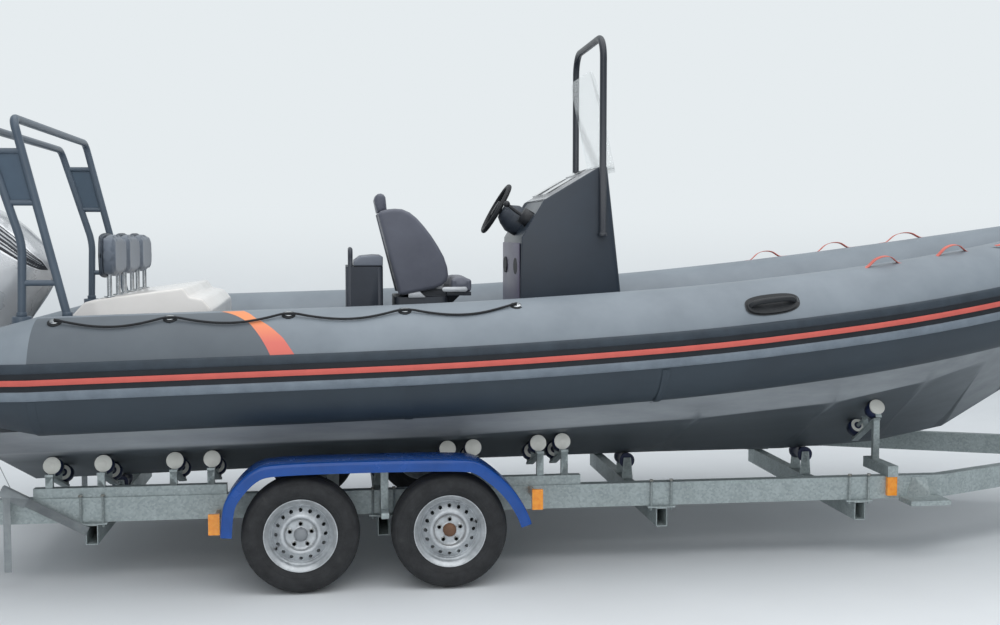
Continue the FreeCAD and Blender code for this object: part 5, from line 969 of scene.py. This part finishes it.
class BOAT_OT_rope(bpy.types.Operator):
    """Grab line along each tube, hanging between its pads"""

    bl_idname = "boat.rope"
    bl_label = "Grab lines"

    def execute(self, context):
        material = finish("rope", "Black Braided Rope", "24262A", "141517")
        for side, name in ((1.0, "grab_line_left"), (-1.0, "grab_line_right")):
            route = []
            for index, x in enumerate(PAD_STATIONS):
                route.append(on_tube(x, PAD_ANGLE, ROPE_LIFT, side))
                if x != PAD_STATIONS[-1]:
                    gap = PAD_STATIONS[index + 1] - x
                    for share, drop in ROPE_SAG:
                        route.append(on_tube(x + share * gap, PAD_ANGLE - drop, ROPE_SAG_LIFT, side))
            rope = bar(name + "_rope", route, sizes().rope / 2, 3, 3)
            rope.data.materials.append(material)
            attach(rope, "root")
            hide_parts(name)
        dressed("grab_line_pads", finish("rubber", "Black Pad Rubber", "2A2D30", "1E2023"), 32.0)
        bm = bmesh.new()
        for side in SIDES:
            for x in PAD_STATIONS:
                foot = on_tube(x, PAD_ANGLE, 0.007, side)
                normal = (on_tube(x, PAD_ANGLE, 0.032, side) - foot).normalized()
                disc(bm, foot + normal * 0.003, normal, 0.024, 0.006, 24, 0.0015)
                for end in SIDES:
                    bolt(bm, on_tube(x + end * 0.014, PAD_ANGLE, 0.006, side), normal, 0.008)
        kept(bm, "grab_line_lugs", stainless())
        return {"FINISHED"}


class BOAT_OT_handles(bpy.types.Operator):
    """Moulded lifting handles, coral strap handles and their patches"""

    bl_idname = "boat.handles"
    bl_label = "Handles"

    def execute(self, context):
        black = finish("rubber", "Black Handle Rubber", "2B2E31", "1D1F22", (0.4, 0.55))
        bm = bmesh.new()
        for side in SIDES:
            # columns: half length, reach in degrees up and down, lift off the tube
            for half, tall, lift in ((0.150, 12.5, 0.004), (0.138, 10.8, 0.010)):
                round_patch(bm, lambda u, v: on_tube(
                    LIFT_HANDLE + half * math.copysign(abs(u) ** 0.8, u),
                    LIFT_HANDLE_ANGLE + tall * math.copysign(abs(v) ** 0.7, v), lift, side,
                ), 40)
        bmesh.ops.recalc_face_normals(bm, faces=bm.faces[:])
        kept(bm, "lifting_handle_pads", black, stands_for=["tube_handles"])
        # columns: station from the handle's middle, lift off the tube, to the middle
        rows = both_ways([(-0.118, 0.004), (-0.112, 0.022), (-0.088, 0.036), (0.0, 0.040)])
        for side, word in zip(SIDES, ("right", "left")):
            line = [on_tube(LIFT_HANDLE + x, LIFT_HANDLE_ANGLE, lift, side) for x, lift in rows]
            rounded_tube("lifting_handle_" + word, line, 0.0145, black, ring=5)
        # columns: share of the strap's half length, lift off the tube, to the middle
        rows = both_ways([(-1.5, 0.002), (-1.1, 0.003), (-0.9, 0.012), (-0.5, 0.042), (0.0, 0.052)])
        straps, patches = bmesh.new(), bmesh.new()
        for side in SIDES:
            for x in STRAP_STATIONS:
                line = smooth_line([on_tube(x + share * 0.095, STRAP_ANGLE, lift, side) for share, lift in rows], 28)
                across = (on_tube(x, STRAP_ANGLE + 5, 0, side) - on_tube(x, STRAP_ANGLE - 5, 0, side)).normalized()
                ribbon(straps, line, across, 0.030, 0.003)
                for end in SIDES:
                    round_patch(patches, lambda u, v: on_tube(
                        x + end * 0.125 + 0.055 * u, STRAP_ANGLE + 9.0 * v, 0.0014, side,
                    ), 24)
        kept(straps, "strap_handles", finish("webbing", "Coral Webbing", "D9705F", "C65C50"))
        kept(patches, "strap_patches", finish("fabric", "Grey Patch Fabric", "7C848B", "727A81"))
        return {"FINISHED"}


class BOAT_OT_hull(bpy.types.Operator):
    """Alloy hull, deck, bow locker and eyes"""

    bl_idname = "boat.hull"
    bl_label = "Hull and deck"

    def execute(self, context):
        dressed("hull", mill_alloy())
        dressed("cockpit_deck", finish("deck", "Grey Non Slip Deck", "7E8489", "6D7378"))
        dressed("bow_locker", finish("gelcoat", "White Locker Gelcoat", "E6E2DE", "D9D5D0"), edge=0.010)
        dressed("towing_eyes", stainless(), 40.0)
        bm = bmesh.new()
        for y in (-0.26, 0.26):
            block(bm, at(2.652, y - 0.035, 1.09), at(2.662, y + 0.035, 1.13), 0.003)
        kept(bm, "locker_latches", stainless())
        return {"FINISHED"}


class BOAT_OT_roll_bar(bpy.types.Operator):
    """Roll bar over the stern: two bent hoops with rungs, infill panels and round feet"""

    bl_idname = "boat.roll_bar"
    bl_label = "Roll bar"

    def execute(self, context):
        coat = finish("coat", "Slate Powder Coat", "54616E", "475360")
        infill = finish("coat", "Blue Grey Infill Panel", "44596A", "35485A", (0.3, 0.42))
        # columns: station, height of a hoop's leg from foot to corner
        front = [(-1.370, 1.373), (-1.610, 2.360)]
        rear = [(-1.590, 1.373), (-1.580, 1.735), (-1.760, 2.315)]
        nodes = ["aframe_left", "aframe_right", "aframe_top"]
        for word, leg in (("front", front), ("rear", rear)):
            line = [at(x, 0, z) for x, z in leg]
            near = []
            for low, high in zip(line, line[1:]):
                turn_in = (high - low).normalized() * ROLL_BAR_BEND
                near += [low, low + turn_in, high - turn_in]
            corner = line[-1]
            port = [place + Vector((0, ROLL_BAR_HALF, 0)) for place in near + [corner]]
            port.append(corner + Vector((0, ROLL_BAR_HALF - ROLL_BAR_BEND, 0)))
            path = port + [Vector((place.x, -place.y, place.z)) for place in reversed(port)]
            piece = rounded_tube("roll_bar_" + word, path, 0.021, coat, order=3, ring=6)
            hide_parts(*nodes)
        rungs, panels = bmesh.new(), bmesh.new()
        by_height = [[(z, x) for x, z in leg] for leg in (rear, front)]
        for side in (-ROLL_BAR_HALF, ROLL_BAR_HALF):
            for z in RUNG_LEVELS:
                aft, fore = [between(rows, z) for rows in by_height]
                disc(rungs, at((aft + fore) / 2, side, z), Vector((1, 0, 0)), 0.015, fore - aft)
            for x, z in (front[0], rear[0]):
                disc(rungs, at(x, side, z - 0.027), UP, 0.048, 0.054, 32, 0.003)
                disc(rungs, at(x, side, z + 0.010), UP, 0.026, 0.022, 24, 0.004)
            low, high = [[(between(rows, z), z) for rows in by_height] for z in (RUNG_LEVELS[1], RUNG_LEVELS[0])]
            profiled(panels, low + high[::-1], (side - 0.0025, side + 0.0025))
        kept(rungs, "roll_bar_rungs", coat, stands_for=nodes)
        kept(panels, "roll_bar_panels", infill, stands_for=nodes)
        return {"FINISHED"}


class BOAT_OT_bench(bpy.types.Operator):
    """Moulded bench across the stern, with its front step, lids and latches"""

    bl_idname = "boat.bench"
    bl_label = "Aft bench"

    def execute(self, context):
        white = finish("gelcoat", "White Bench Gelcoat", "E8E4E0", "DCD8D3")
        dressed("aft_bench", white, edge=0.014)
        doors, latches = bmesh.new(), bmesh.new()
        for y in DOOR_PLACES:
            block(doors, at(-0.694, y - 0.16, 1.08), at(-0.684, y + 0.16, 1.31), 0.004)
            block(latches, at(-0.686, y - 0.03, 1.262), at(-0.680, y + 0.03, 1.284), 0.002)
        kept(doors, "bench_doors", white)
        kept(latches, "bench_latches", stainless())
        return {"FINISHED"}


class BOAT_OT_backrests(bpy.types.Operator):
    """Three padded backrests with their shells, legs and feet"""

    bl_idname = "boat.backrests"
    bl_label = "Backrests"

    def execute(self, context):
        vinyl = finish("vinyl", "Slate Backrest Vinyl", "6B7480", "5B636E")
        steel = stainless()
        legs = bmesh.new()
        dark = finish("plastic", "Dark Backrest Cover", "59616C", "4A525C")
        half_y, half_z = PAD_HALF
        shell_y, shell_z = half_y + SHELL_RIM, half_z + SHELL_RIM
        for index, y in enumerate(BACKREST_PLACES, 1):
            bm = bmesh.new()
            low = Vector((-1.2435, y - half_y, BACKREST_LEVEL - half_z)) + at(0, 0, 0)
            high = Vector((-1.1805, y + half_y, BACKREST_LEVEL + half_z)) + at(0, 0, 0)
            crowned(bm, low, high, 0.004, 0.034)
            pillowed(bm, y, BACKREST_LEVEL, half_y, half_z)
            stuffed(kept(bm, f"backrest_pad_{index}", vinyl, stands_for=["backrests"]), 0.008)
            shell = bmesh.new()
            low = at(-1.2565, y - shell_y, BACKREST_LEVEL - shell_z)
            crowned(shell, low, at(-1.2395, y + shell_y, BACKREST_LEVEL + shell_z), 0.0, 0.007, 0.0)
            pillowed(shell, y, BACKREST_LEVEL, shell_y, shell_z)
            kept(shell, f"backrest_shell_{index}", dark, stands_for=["backrests"])
            for leg_y in (y - 0.125, y + 0.125):
                foot = at(-1.215, leg_y, 1.4505)
                disc(legs, foot + UP * 0.004, UP, 0.0285, 0.008, 24, 0.002)
                disc(legs, foot + UP * 0.065, UP, 0.013, 0.12, 20)
        kept(legs, "backrest_legs", steel)
        return {"FINISHED"}


class BOAT_OT_helm_seat(bpy.types.Operator):
    """Helm seat: bucket, cushion, bolster with its strip, headrest and base"""

    bl_idname = "boat.helm_seat"
    bl_label = "Helm seat"

    def execute(self, context):
        vinyl = finish("vinyl", "Grey Seat Vinyl", colours().seat, "535662")
        pale = finish("vinyl", "Pale Grey Cushion Vinyl", "6E717E", "60636F")
        seat_shell(vinyl)
        dressed("helm_seat_base", finish("plastic", "Dark Base Moulding", "30363F", "272C34"), edge=0.006)
        bm = bmesh.new()
        # columns: station, height of the bracket's corners
        rows = [(0.375, 1.421), (0.375, 1.464), (0.432, 1.466), (0.474, 1.423)]
        profiled_pair(bm, rows, 0.2405, 0.2470, 0.002)
        kept(bm, "seat_brackets", finish("strip", "Silver Side Bracket", "CDD0D3", "B4B7BB"))
        bm = bmesh.new()
        crowned(bm, at(0.418, -0.192, 1.474), at(0.556, 0.192, 1.548), 0.010, 0.024)
        cushion = kept(bm, "helm_seat_pad", pale, stands_for=["helm_seat_cushion"])
        bm = bmesh.new()
        crowned(bm, at(0.618, -0.262, 1.457), at(0.738, 0.262, 1.526), 0.005, 0.020)
        for pad in (cushion, kept(bm, "helm_seat_bolster", vinyl)):
            stuffed(pad, 0.010)
        # columns: station, height round the strip with rounded ends
        rows = [
            (0.566, 1.4705), (0.570, 1.4790), (0.580, 1.4835), (0.700, 1.4835), (0.709, 1.4790), (0.713, 1.4690),
            (0.709, 1.4590), (0.700, 1.4545), (0.580, 1.4545), (0.570, 1.4600),
        ]
        bm = bmesh.new()
        profiled_pair(bm, rows, 0.2600, 0.2648, 0.0012)
        kept(bm, "bolster_strips", finish("strip", "Silver Bolster Strip", "CDD0D3", "B4B7BB"))
        return {"FINISHED"}


class BOAT_OT_seat_pod(bpy.types.Operator):
    """Box seat behind the helm: faceted body, cushion and hoop"""

    bl_idname = "boat.seat_pod"
    bl_label = "Seat pod"

    def execute(self, context):
        dressed("seat_pod", finish("plastic", "Dark Pod Moulding", "353B45", "2B3039"))
        bm = bmesh.new()
        # columns: station, height round the cap, which folds down over the box's rear corner
        rows = [
            (0.066, 1.6035), (0.068, 1.630), (0.104, 1.657), (0.178, 1.664), (0.222, 1.662), (0.2315, 1.654),
            (0.2315, 1.6035),
        ]
        profiled(bm, rows, (-0.2385, 0.2385), 0.010, 3)
        vinyl = finish("vinyl", "Grey Pod Vinyl", "757B86", "676D78")
        pad = kept(bm, "seat_pod_pad", vinyl, stands_for=["seat_pod_cushion"], angle=30.0)
        return {"FINISHED"}


class BOAT_OT_console(bpy.types.Operator):
    """Console: coated body, aft face trim, silver dash with dark displays, windscreen and its frame"""

    bl_idname = "boat.console"
    bl_label = "Console"

    def execute(self, context):
        coat = finish("coat", "Slate Console Coat", colours().console, "262F3A", (0.28, 0.4))
        dressed("console_body", coat, edge=0.008)
        silver = finish("coat", "Brushed Silver Dash", "B5B7B9", "A4A7AA", (0.25, 0.4))
        dash = dressed("console_dash", silver)
        dash.data.materials.append(finish("display", "Dark Display Glass", "1E2328", "15181C"))
        # The displays are the faces highest along the dash's own slope.
        slope = math.atan2(DASH_TOP[1] - DASH_FOOT[1], DASH_TOP[0] - DASH_FOOT[0])
        normal = Vector((-math.sin(slope), 0, math.cos(slope)))
        level = [face for face in dash.data.polygons if face.normal.dot(normal) > 0.99]
        peak = max(face.center.dot(normal) for face in level)
        for face in level:
            if face.center.dot(normal) > peak - 0.001:
                face.material_index = 1
        dressed("console_frame", finish("coat", "Dark Frame Coat", "262C35", "1E232B"), 40.0)
        dressed("windscreen", clear_acrylic())
        trim = finish("plastic", "Violet Grey Face Trim", "6E6A7E", "5F5B6F", (0.35, 0.5))
        bm = bmesh.new()
        block(bm, at(0.9975, -0.340, 1.060), at(1.0045, 0.340, 1.735), 0.004)
        kept(bm, "console_face_trim", trim)
        bm = bmesh.new()
        for y in (-0.20, 0.20):
            round_patch(bm, lambda u, v: at(0.9965, y + 0.075 * u, 1.600 + 0.048 * v), 32)
        bmesh.ops.recalc_face_normals(bm, faces=bm.faces)
        bmesh.ops.solidify(bm, geom=bm.faces[:], thickness=0.006)
        kept(bm, "console_pockets", finish("rubber", "Black Pocket Net", "24262B", "1A1C20"))
        return {"FINISHED"}


class BOAT_OT_helm(bpy.types.Operator):
    """Helm pod, steering wheel and throttle"""

    bl_idname = "boat.helm"
    bl_label = "Helm"

    def execute(self, context):
        black = finish("plastic", "Black Helm Moulding", "2A2C31", "1F2125")
        dressed("helm_pod", finish("plastic", "Slate Helm Pod", "39414C", "2D343E"))
        dressed("throttle", black, 35.0)
        soft = finish("rubber", "Soft Wheel Grip", "222428", "191B1E", (0.45, 0.6))
        dressed("steering_wheel", soft, 40.0)
        return {"FINISHED"}


class BOAT_OT_engine(bpy.types.Operator):
    """Outboard engine: cowl with its louvre, leg, gearcase, bracket and propeller"""

    bl_idname = "boat.engine"
    bl_label = "Engine"

    def louvre(self, cowl):
        """Slatted black air intake along each side of the cowl, in a raised pointed rim whose near-white colour is a
        painted highlight.
        """
        bm = bmesh.new()
        bm.from_mesh(cowl.data)
        tree = BVHTree.FromBMesh(bm)
        bm.free()
        # columns: station, height of the intake's edges with the engine upright
        upper = [(-2.330, 1.738), (-2.181, 1.716), (-2.102, 1.700), (-1.990, 1.662), (-1.920, 1.644), (-1.878, 1.617)]
        lower = [(-2.330, 1.632), (-2.128, 1.611), (-2.031, 1.602), (-1.951, 1.599), (-1.905, 1.600), (-1.878, 1.611)]

        along = upper[0][0], upper[-1][0]

        def strip(bm, side, first, last, lift):
            """A band between two shares of the way from the lower to the upper edge."""
            for vert in bmesh.ops.create_grid(bm, x_segments=40, y_segments=2, size=0.5)["verts"]:
                x = along[0] + (along[1] - along[0]) * (vert.co.x + 0.5)
                share = first + (last - first) * (vert.co.y + 0.5)
                bottom, top = between(lower, x), between(upper, x)
                hit, normal = tree.ray_cast(parked(x, side, bottom + (top - bottom) * share), Vector((0, -side, 0)))[:2]
                if hit:
                    vert.co = hit + normal * math.copysign(lift, normal.y * side)

        skins, slats, highlight_rims = bmesh.new(), bmesh.new(), bmesh.new()
        for side in SIDES:
            strip(skins, side, -0.02, 1.02, 0.0006)
            for index in range(5):
                strip(slats, side, 0.06 + 0.19 * index, 0.15 + 0.19 * index, 0.0022)
            # The rims are raised strips in near-white lacquer, a painted highlight along the intake's edges.
            strip(highlight_rims, side, -0.14, -0.03, 0.0020)
            strip(highlight_rims, side, 1.03, 1.12, 0.0020)
        for bm, name, material in (
            (skins, "cowl_intakes", finish("plastic", "Black Intake Moulding", "17191D", "101215")),
            (slats, "intake_slats", finish("plastic", "Grey Slat Moulding", "3B4048", "2D3138")),
            (highlight_rims, "intake_highlight_rims", finish("lacquer", "Intake Rim Painted Highlight", "E6E8EA", "DCDEE1")),
        ):
            kept(bm, name, material, cowl["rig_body"])

    def execute(self, context):
        silver = finish("lacquer", "Silver Cowl Lacquer", "C3C5C8", "B4B7BA")
        # columns: height, share of the full width, front and rear station, with the engine upright
        rows = [
            (1.2055, 0.94, -1.852, -2.408), (1.2150, 0.95, -1.850, -2.412), (1.3350, 1.00, -1.838, -2.438),
            (1.4800, 0.99, -1.818, -2.438), (1.6100, 0.96, -1.822, -2.430), (1.6900, 0.86, -1.888, -2.412),
            (1.7500, 0.70, -2.060, -2.385), (1.7780, 0.46, -2.170, -2.345),
        ]
        bm = bmesh.new()
        rings = []
        for z, share, front, rear in rows:
            half = COWL_HALF * share
            port = [(front - half + half * math.cos(turn), half * math.sin(turn)) for turn in (0.0, 0.52, 1.05, 1.57)]
            port += [((front - half + rear) / 2, half), (rear + half * 0.5, half * 0.92), (rear, half * 0.45)]
            ring = port + [(x, -y) for x, y in reversed(port[1:])]
            rings.append([bm.verts.new(parked(x, y, z)) for x, y in ring])
        for low, high in zip(rings, rings[1:]):
            after = low[1:] + low[:1], high[1:] + high[:1]
            for a, b, c, d in zip(low, after[0], after[1], high):
                bm.faces.new((a, b, c, d))
        bm.faces.new(list(reversed(rings[0])))
        bm.faces.new(rings[-1])
        cowl = kept(bm, "cowl_skin", silver, NODES["engine_cowl"]["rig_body"], ["engine_cowl"], 60.0)
        smooth = cowl.modifiers.new("Subdivision", "SUBSURF")
        smooth.levels = smooth.render_levels = 3
        settle(cowl)
        self.louvre(cowl)
        dressed("engine_leg", finish("lacquer", "Silver Leg Lacquer", "A6A9AC", "989B9F", (0.3, 0.42)), 35.0)
        dressed("gearcase", finish("lacquer", "Silver Gearcase Lacquer", "A6A9AC", "95989C", (0.3, 0.42)), 35.0)
        grey = finish("coat", "Grey Bracket Coat", "5A5F65", "4D5257")
        dressed("engine_bracket", grey, 35.0)
        dressed("engine_swivel", grey, 35.0)
        dressed("propeller", stainless(), 35.0)
        return {"FINISHED"}


class BOAT_OT_wheels(bpy.types.Operator):
    """Tyres with tread and sidewall rings, pressed rims with nuts, caps and valves"""

    bl_idname = "boat.wheels"
    bl_label = "Wheels"

    def execute(self, context):
        rubber = tyre_rubber()
        paint = finish("wheel", "Silver Wheel Lacquer", "CDD1D4", "A9ADB0")
        rust = finish("rubber", "Rusted Hub Cap", "7C5A45", "5D4636")
        grey = finish("plastic", "Grey Hub Cap", "8C9094", "7C8084")
        for word, cap in (("rear_right", grey), ("rear_left", grey), ("front_right", rust), ("front_left", rust)):
            node = "tyre_" + word
            body = "wheel_" + word
            low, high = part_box(node)
            centre = (low + high) / 2
            out = Vector((0, math.copysign(1.0, centre.y), 0))
            half, radius = (high.y - low.y) / 2, (high.z - low.z) / 2

            def spoke(degrees, reach, along):
                angle = math.radians(degrees)
                return centre + Vector((reach * math.cos(angle), out.y * along, reach * math.sin(angle)))

            # columns: along the axle, radius, round the tyre's section
            side = [
                (0.0695, 0.1665), (0.0700, 0.1790), (0.0745, 0.1870), (0.0800, 0.1935), (0.0840, 0.2010),
                (0.0885, 0.2100), (0.0880, 0.2125), (0.0895, 0.2150), (0.0918, 0.2280), (half - 0.0002, 0.2370),
                (0.0915, 0.2480), (0.0890, 0.2590), (0.0870, 0.2605), (0.0860, 0.2650), (0.0800, 0.2760),
                (0.0735, 0.2815), (0.0660, 0.2855), (0.0560, 0.2885), (0.0480, 0.2905),
            ]
            grooves = []
            for place in (0.046, 0.016):
                grooves += [(place, radius - 0.0032), (place - 0.0008, radius - 0.0095),
                            (place - 0.0062, radius - 0.0095), (place - 0.007, radius - 0.0025)]
            tread = turned(both_ways(side + grooves + [(0.0, radius - 0.0004)]), centre, out, 96)
            kept(tread, "tread_" + word, rubber, body, [node], 30.0)
            dressed("rim_" + word, paint, 35.0)
            bm = bmesh.new()
            for index in range(5):
                disc(bm, spoke(72 * index + 90, NUT_CIRCLE, 0.038) + out * 0.007, out, 0.0112, 0.014, 6, 0.0012)
            kept(bm, "wheel_nuts_" + word, zinc_plate(), body)
            # columns: along the axle, radius, round the cap's section
            cap_rows = [
                (0.036, 0.0001), (0.036, 0.034), (0.050, 0.0335), (0.059, 0.030), (0.0655, 0.021), (0.067, 0.0001),
            ]
            kept(turned(cap_rows, centre, out, 32), "hub_cap_" + word, cap, body, angle=40.0)
            bm = bmesh.new()
            stem = spoke(210 if "rear" in word else 15, VALVE_CIRCLE, 0.030)
            disc(bm, stem, out, 0.0045, 0.036, 12, 0.001)
            disc(bm, stem + out * 0.014, out, 0.0055, 0.010, 12, 0.001)
            kept(bm, "valve_" + word, finish("rubber", "Black Valve Rubber", "26282B", "1C1E20"), body)
        return {"FINISHED"}


class BOAT_OT_trailer(bpy.types.Operator):
    """Galvanised trailer frame with bolts, couplings and axles"""

    bl_idname = "boat.trailer"
    bl_label = "Trailer frame"

    def execute(self, context):
        steel = galvanised()
        for node in ("chassis_rails", "drawbar", "coupling_head", "axle_beams", "cross_members", "roller_cradles",
                     "front_bridge", "winch_post", "jockey_post"):
            dressed(node, steel)
        for node in ("winch", "jockey_fork"):
            dressed(node, zinc_plate(), 35.0)
        bm = bmesh.new()
        for side in SIDES:
            for x in (-1.27, 0.205, 1.70, 2.823):
                for bolt_x in (x - 0.055, x + 0.055):
                    bolt(bm, at(bolt_x, side * 0.861, 0.455), UP, 0.018)
        kept(bm, "clamp_nuts", zinc_plate())
        return {"FINISHED"}


class BOAT_OT_mudguards(bpy.types.Operator):
    """Tandem mudguards: blue sheet with a rounded edge and outer lip, on galvanised stays"""

    bl_idname = "boat.mudguards"
    bl_label = "Mudguards"

    def execute(self, context):
        # columns: station, height along the sheet
        line = [
            (-0.602, 0.305), (-0.592, 0.451), (-0.562, 0.515), (-0.487, 0.604), (-0.420, 0.648), (-0.330, 0.667),
            (0.595, 0.667), (0.665, 0.651), (0.724, 0.613), (0.802, 0.550), (0.870, 0.475), (0.922, 0.380),
            (0.940, 0.328),
        ]
        # columns: place across the trailer, depth under the sheet's top
        section = [
            (0.992, 0.014), (0.992, 0.002), (0.996, 0.0), (1.100, 0.0), (1.190, 0.0), (1.2000, 0.0015),
            (1.2060, 0.005), (1.2090, 0.011), (1.2100, 0.020), (1.2100, 0.058), (1.2060, 0.058),
        ]
        points = drawn_line([at(x, 0, z) for x, z in line], 6)
        points = drawn_line([at(x, 0, z) for x, z in line], 6)
        sheets, stays = bmesh.new(), bmesh.new()
        for side in SIDES:
            rows = []
            for index, point in enumerate(points):
                ahead = points[min(index + 1, len(points) - 1)] - points[max(index - 1, 0)]
                inward = Vector((ahead.z, 0, -ahead.x)).normalized()
                rows.append([
                    sheets.verts.new(point + inward * deep + Vector((0, side * y, 0))) for y, deep in section
                ])
            faces = []
            for low, high in zip(rows, rows[1:]):
                for a, b, c, d in zip(low, low[1:], high[1:], high):
                    faces.append(sheets.faces.new((a, b, c, d)))
            bmesh.ops.recalc_face_normals(sheets, faces=faces)
            bmesh.ops.solidify(sheets, geom=faces, thickness=MUDGUARD_SHEET)
            # columns: corners of the stays: station, place across, height
            for low, high in (
                ((0.185, 0.850, 0.360), (0.225, 1.150, 0.390)),
                ((0.185, 1.020, 0.360), (0.225, 1.050, 0.663)),
                ((-0.588, 0.850, 0.410), (-0.564, 1.030, 0.440)),
                ((0.868, 0.850, 0.410), (0.892, 1.030, 0.440)),
            ):
                across = sorted((side * low[1], side * high[1]))
                block(stays, at(low[0], across[0], low[2]), at(high[0], across[1], high[2]), 0.003)
        blue = finish("sheet", "Blue Mudguard Sheet", colours().mudguard, "0A428A")
        kept(sheets, "mudguard_sheets", blue, stands_for=["mudguards"], turn_faces=False)
        kept(stays, "mudguard_stays", galvanised(), stands_for=["mudguards"])
        return {"FINISHED"}


class BOAT_OT_rollers(bpy.types.Operator):
    """Rubber rollers with pale hub discs"""

    bl_idname = "boat.rollers"
    bl_label = "Hull rollers"

    def execute(self, context):
        dressed("hull_rollers", finish("rubber", "Blue Black Roller Rubber", "222C4C", "181F38", (0.35, 0.5)), 35.0)
        bm = bmesh.new()
        for centre, size in islands("hull_rollers"):
            if max(size) > 0.13:
                continue
            side = math.copysign(1.0, centre.y)
            rise = math.radians(CRADLE_RISE if centre.x - SHIFT < BOW_STATION else BOW_RISE)
            lean = Vector((0, side * math.cos(rise), math.sin(rise)))
            for end in SIDES:
                disc(bm, centre + lean * (end * 0.0330), lean, 0.0395, 0.0024, 32, 0.0008)
            if abs(centre.y) > 0.53:
                # columns: place along the rod, radius, depth of the end cap's steps, outside the outer cheek
                for place, radius, depth in (
                    (0.0455, 0.0440, 0.0060), (0.0492, 0.0370, 0.0018), (0.0510, 0.0160, 0.0024),
                ):
                    disc(bm, centre + lean * place, lean, radius, depth, 36, 0.0007)
        kept(bm, "roller_hubs", finish("plastic", "Ivory Roller Hub", "E6E6DF", "D0D0C8", (0.35, 0.5)))
        return {"FINISHED"}


class BOAT_OT_lamps(bpy.types.Operator):
    """Tail lamps and amber side markers in their holders"""

    bl_idname = "boat.lamps"
    bl_label = "Lamps"

    def execute(self, context):
        dressed("tail_lamps", lens("Red Tail Lens", "A51218", "C62A22"))
        dressed("side_markers", lens("Amber Marker Lens", "F28A10", "FFA92E"))
        return {"FINISHED"}


class BOAT_OT_winch(bpy.types.Operator):
    """Winch strap, tie-downs, bow stop and jockey wheel"""

    bl_idname = "boat.winch"
    bl_label = "Winch and straps"

    def execute(self, context):
        dressed("webbing_straps", finish("webbing", "Grey Polyester Webbing", "9AA0A2", "868C8F"))
        dressed("bow_stop", finish("rubber", "Black Bow Stop", "27292C", "1D1F21"), 35.0)
        dressed("jockey_wheel", finish("rubber", "Black Jockey Tyre", "2A2C2F", "1E2022"), 35.0)
        return {"FINISHED"}


class BOAT_PT_panel(bpy.types.Panel):
    """Buttons for each group of pieces"""

    bl_idname = "BOAT_PT_panel"
    bl_label = "Boat on Trailer"
    bl_space_type = "VIEW_3D"
    bl_region_type = "UI"
    bl_category = "Boat"

    def draw(self, context):
        layout = self.layout
        for group in (context.scene.boat_colours, context.scene.boat_sizes):
            for name in group.__annotations__:
                layout.prop(group, name)
        for operator in OPERATORS:
            layout.operator(operator.bl_idname)


OPERATORS = (
    BOAT_OT_stage, BOAT_OT_rope, BOAT_OT_tube, BOAT_OT_strake, BOAT_OT_handles, BOAT_OT_hull, BOAT_OT_roll_bar,
    BOAT_OT_bench, BOAT_OT_backrests, BOAT_OT_helm_seat, BOAT_OT_seat_pod, BOAT_OT_console, BOAT_OT_helm,
    BOAT_OT_engine, BOAT_OT_wheels, BOAT_OT_trailer, BOAT_OT_mudguards, BOAT_OT_rollers, BOAT_OT_lamps,
    BOAT_OT_winch,
)
CLASSES = (BoatColours, BoatSizes) + OPERATORS + (BOAT_PT_panel,)


def register():
    for item in CLASSES:
        bpy.utils.register_class(item)
    bpy.types.Scene.boat_colours = bpy.props.PointerProperty(type=BoatColours)
    bpy.types.Scene.boat_sizes = bpy.props.PointerProperty(type=BoatSizes)


def unregister():
    del bpy.types.Scene.boat_sizes
    del bpy.types.Scene.boat_colours
    for item in reversed(CLASSES):
        bpy.utils.unregister_class(item)


def main():
    register()
    for operator in OPERATORS:
        getattr(bpy.ops.boat, operator.bl_idname.split(".")[1])()


if __name__ == "__main__":
    main()
